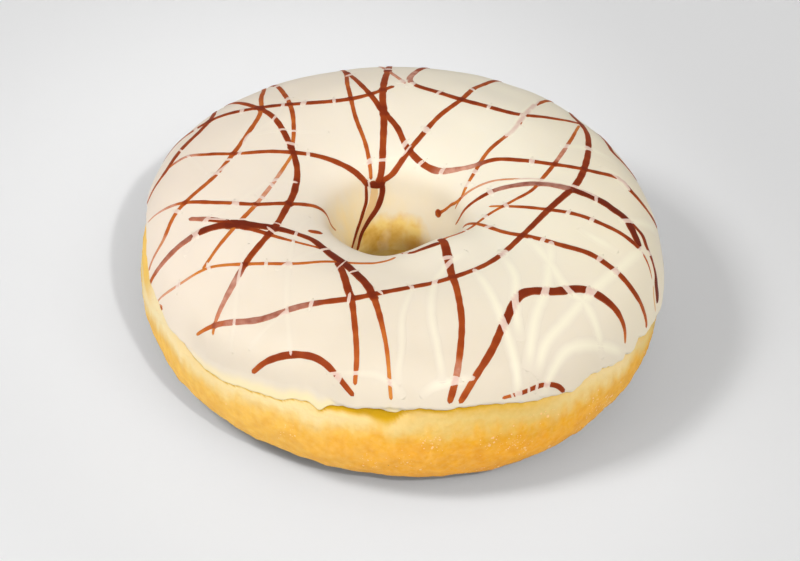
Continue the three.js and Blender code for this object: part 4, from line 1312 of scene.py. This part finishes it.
draw = np.random.default_rng(pale_seed)
pale_lines = [(widths, flat_line(points)) for widths, points in pale_threads.values()]
pale_lines += [(widths, hole_line(points)) for widths, points in pale_hole_threads.values()]
for place, width in pale_bars:
    slanted = bar_line(place, draw.uniform(-bar_slant, bar_slant))
    pale_lines.append(((bar_end_share * width, width, bar_end_share * width), flat_line(slanted)))
corner_shares = np.concatenate([pale_across, pale_root_sides])
is_top = np.arange(len(corner_shares)) < len(pale_across)
lifted = pale_lift + pale_rise * (1 - corner_shares**2)
profile = np.where(np.abs(corner_shares) == 1, pale_edge_sink, lifted)
core = 1 - ease(np.abs(corner_shares), *pale_core)
strand_points = []
strand_faces = []
strand_measures = {"melted": [], "over_brown": []}
first_point = 0
for number, (widths, line) in enumerate(pale_lines):
    is_bar = number >= len(pale_threads) + len(pale_hole_threads)
    angle, reach, half, width = thread_stations(widths, line, draw)
    middles = dough_point(angle, reach)
    from_end = way_along(middles)
    from_end = np.minimum(from_end, from_end[-1] - from_end)
    rightwards = ease(middles[:, 0], *pale_shown_from)
    if not is_bar:
        half = half * (pale_widening[0] + pale_widening[1] * rightwards)
    cutting = np.ones(len(corner_shares)) if is_bar else core
    side_angle, side_reach = across_thread(angle, reach, half, corner_shares)
    ground = icing_height(side_angle, side_reach)
    spots = point_above(side_angle, side_reach, ground)
    away, brown_half = nearest_thread(spots.reshape(-1, 3))
    away = away.reshape(ground.shape)
    brown_rise = thread_rise * np.clip(1 - away**thread_flatness, 0, 1)
    brown_rise = brown_rise * thread_swell(brown_half.reshape(ground.shape))
    over = 1 - ease(away, *over_fade)
    over_brown = brown_rise + pale_over_brown * over
    top = profile[None, :] + over_brown * cutting[None, :] + pale_edge_sink * over * (1 - cutting)[None, :]
    rise = ground + np.where(is_top[None, :], top, -thread_root)
    count, corners = rise.shape
    strand_points.append(point_above(side_angle, side_reach, rise).reshape(-1, 3))
    strand_faces += thread_faces(count, corners, first_point)
    shown = (pale_shown[0] + pale_shown[1] * rightwards) * ease(from_end, 0, pale_end_fade)
    shown = shown[:, None] * (1 - ease(np.abs(corner_shares), 0, 1)) * (0 if is_bar else 1)
    strand_measures["melted"].append((1 - shown).ravel())
    strand_measures["over_brown"].append((1 - ease(away, *rosy_fade)).ravel())
    first_point += count * corners

pale_cream = colour(252, 246, 217)
pale_rosy = colour(220, 184, 168)
rosy_least = 0.55
rosy_veining = 0.5

pale_finish, tree, shader = new_finish("pale drizzle icing", roughness=0.45, gloss=0.35)
melted = mixed(tree, measure(tree, "melted"), pale_cream, placed(tree, icing_tint_and_light, Clouding=0.5))
veined = placed(tree, blotches, Size=0.0016, Detail=3.0, Contrast=2.0)
veined_share = sums(tree, "ADD", sums(tree, "MULTIPLY", veined, rosy_veining), rosy_least)
rosy_share = sums(tree, "HELD_MULTIPLY", measure(tree, "over_brown"), veined_share)
tree.links.new(mixed(tree, rosy_share, melted, pale_rosy), shader.inputs["Base Color"])
roughen(tree, shader, strength=0.08, distance=0.00012, Size=0.004, Fineness=6.0)
pale_drizzle = make_piece(
    "pale_drizzle",
    np.concatenate(strand_points),
    strand_faces,
    {key: np.concatenate(values) for key, values in strand_measures.items()},
    pale_finish,
)
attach(pale_drizzle, "root")

# The floor, light and camera: a pale table under a soft studio sky, a lamp high on the left that throws
# the shadow to the right, a broad fill at the front right, a low one on the left, and an eye 39 degrees
# above the horizon.
floor_size = 6.0
floor_white = colour(247, 247, 247)
bpy.ops.mesh.primitive_plane_add(size=floor_size)
floor = bpy.context.object
floor.name = "floor"
floor_finish, tree, shader = new_finish("pale table", roughness=0.7, gloss=0.2)
shader.inputs["Base Color"].default_value = floor_white
floor.data.materials.append(floor_finish)
floor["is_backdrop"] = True

sky_strength = 0.38
sky = bpy.data.worlds.new("studio sky")
sky.use_nodes = True
sky.node_tree.nodes["Background"].inputs["Color"].default_value = colour(255, 255, 255)
sky.node_tree.nodes["Background"].inputs["Strength"].default_value = sky_strength
bpy.context.scene.world = sky


def add_lamp(name, place, size, power):
    """Square soft lamp at a place in metres, turned to the ring"""
    lamp = bpy.data.lights.new(name, "AREA")
    lamp.size = size
    lamp.energy = power
    holder = bpy.data.objects.new(name, lamp)
    holder.location = place
    holder.rotation_euler = (-Vector(place)).to_track_quat("-Z", "Y").to_euler()
    bpy.context.scene.collection.objects.link(holder)


add_lamp("key", place=(-0.38, -0.19, 0.56), size=0.16, power=1.76)
add_lamp("front fill", place=(0.34, -0.62, 0.53), size=0.6, power=2.05)
add_lamp("low fill", place=(-0.8, -0.45, 0.25), size=0.6, power=1.3)

# A narrow soft spot from the front right, which reaches down the far wall of the hole
spot = bpy.data.lights.new("hole fill", "SPOT")
spot.energy = 70.0
spot.spot_size = math.radians(4.0)
spot.spot_blend = 1.0
spot.shadow_soft_size = 0.06
holder = bpy.data.objects.new("hole fill", spot)
holder.location = (0.22, -0.58, 0.66)
hole_middle = Vector((-0.002, 0.006, 0.02))
holder.rotation_euler = (hole_middle - holder.location).to_track_quat("-Z", "Y").to_euler()
bpy.context.scene.collection.objects.link(holder)

image_width = 800
eye_height_degrees = 39
eye_distance = 0.7
eye_aim_height = 15.0
eye_aim = np.array([*ring_axis, eye_aim_height]) * millimetre
focal_pixels = 3928
aim_above_middle_pixels = 13
camera = bpy.data.cameras.new("eye")
camera.sensor_width = 36
camera.lens = focal_pixels * camera.sensor_width / image_width
camera.shift_y = -aim_above_middle_pixels / image_width
eye = bpy.data.objects.new("eye", camera)
height_angle = math.radians(eye_height_degrees)
eye.location = eye_aim + eye_distance * np.array([0, -math.cos(height_angle), math.sin(height_angle)])
eye.rotation_euler = (math.pi / 2 - height_angle, 0, 0)
bpy.context.scene.collection.objects.link(eye)
bpy.context.scene.camera = eye
bpy.context.scene.view_settings.view_transform = "Standard"

low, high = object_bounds()
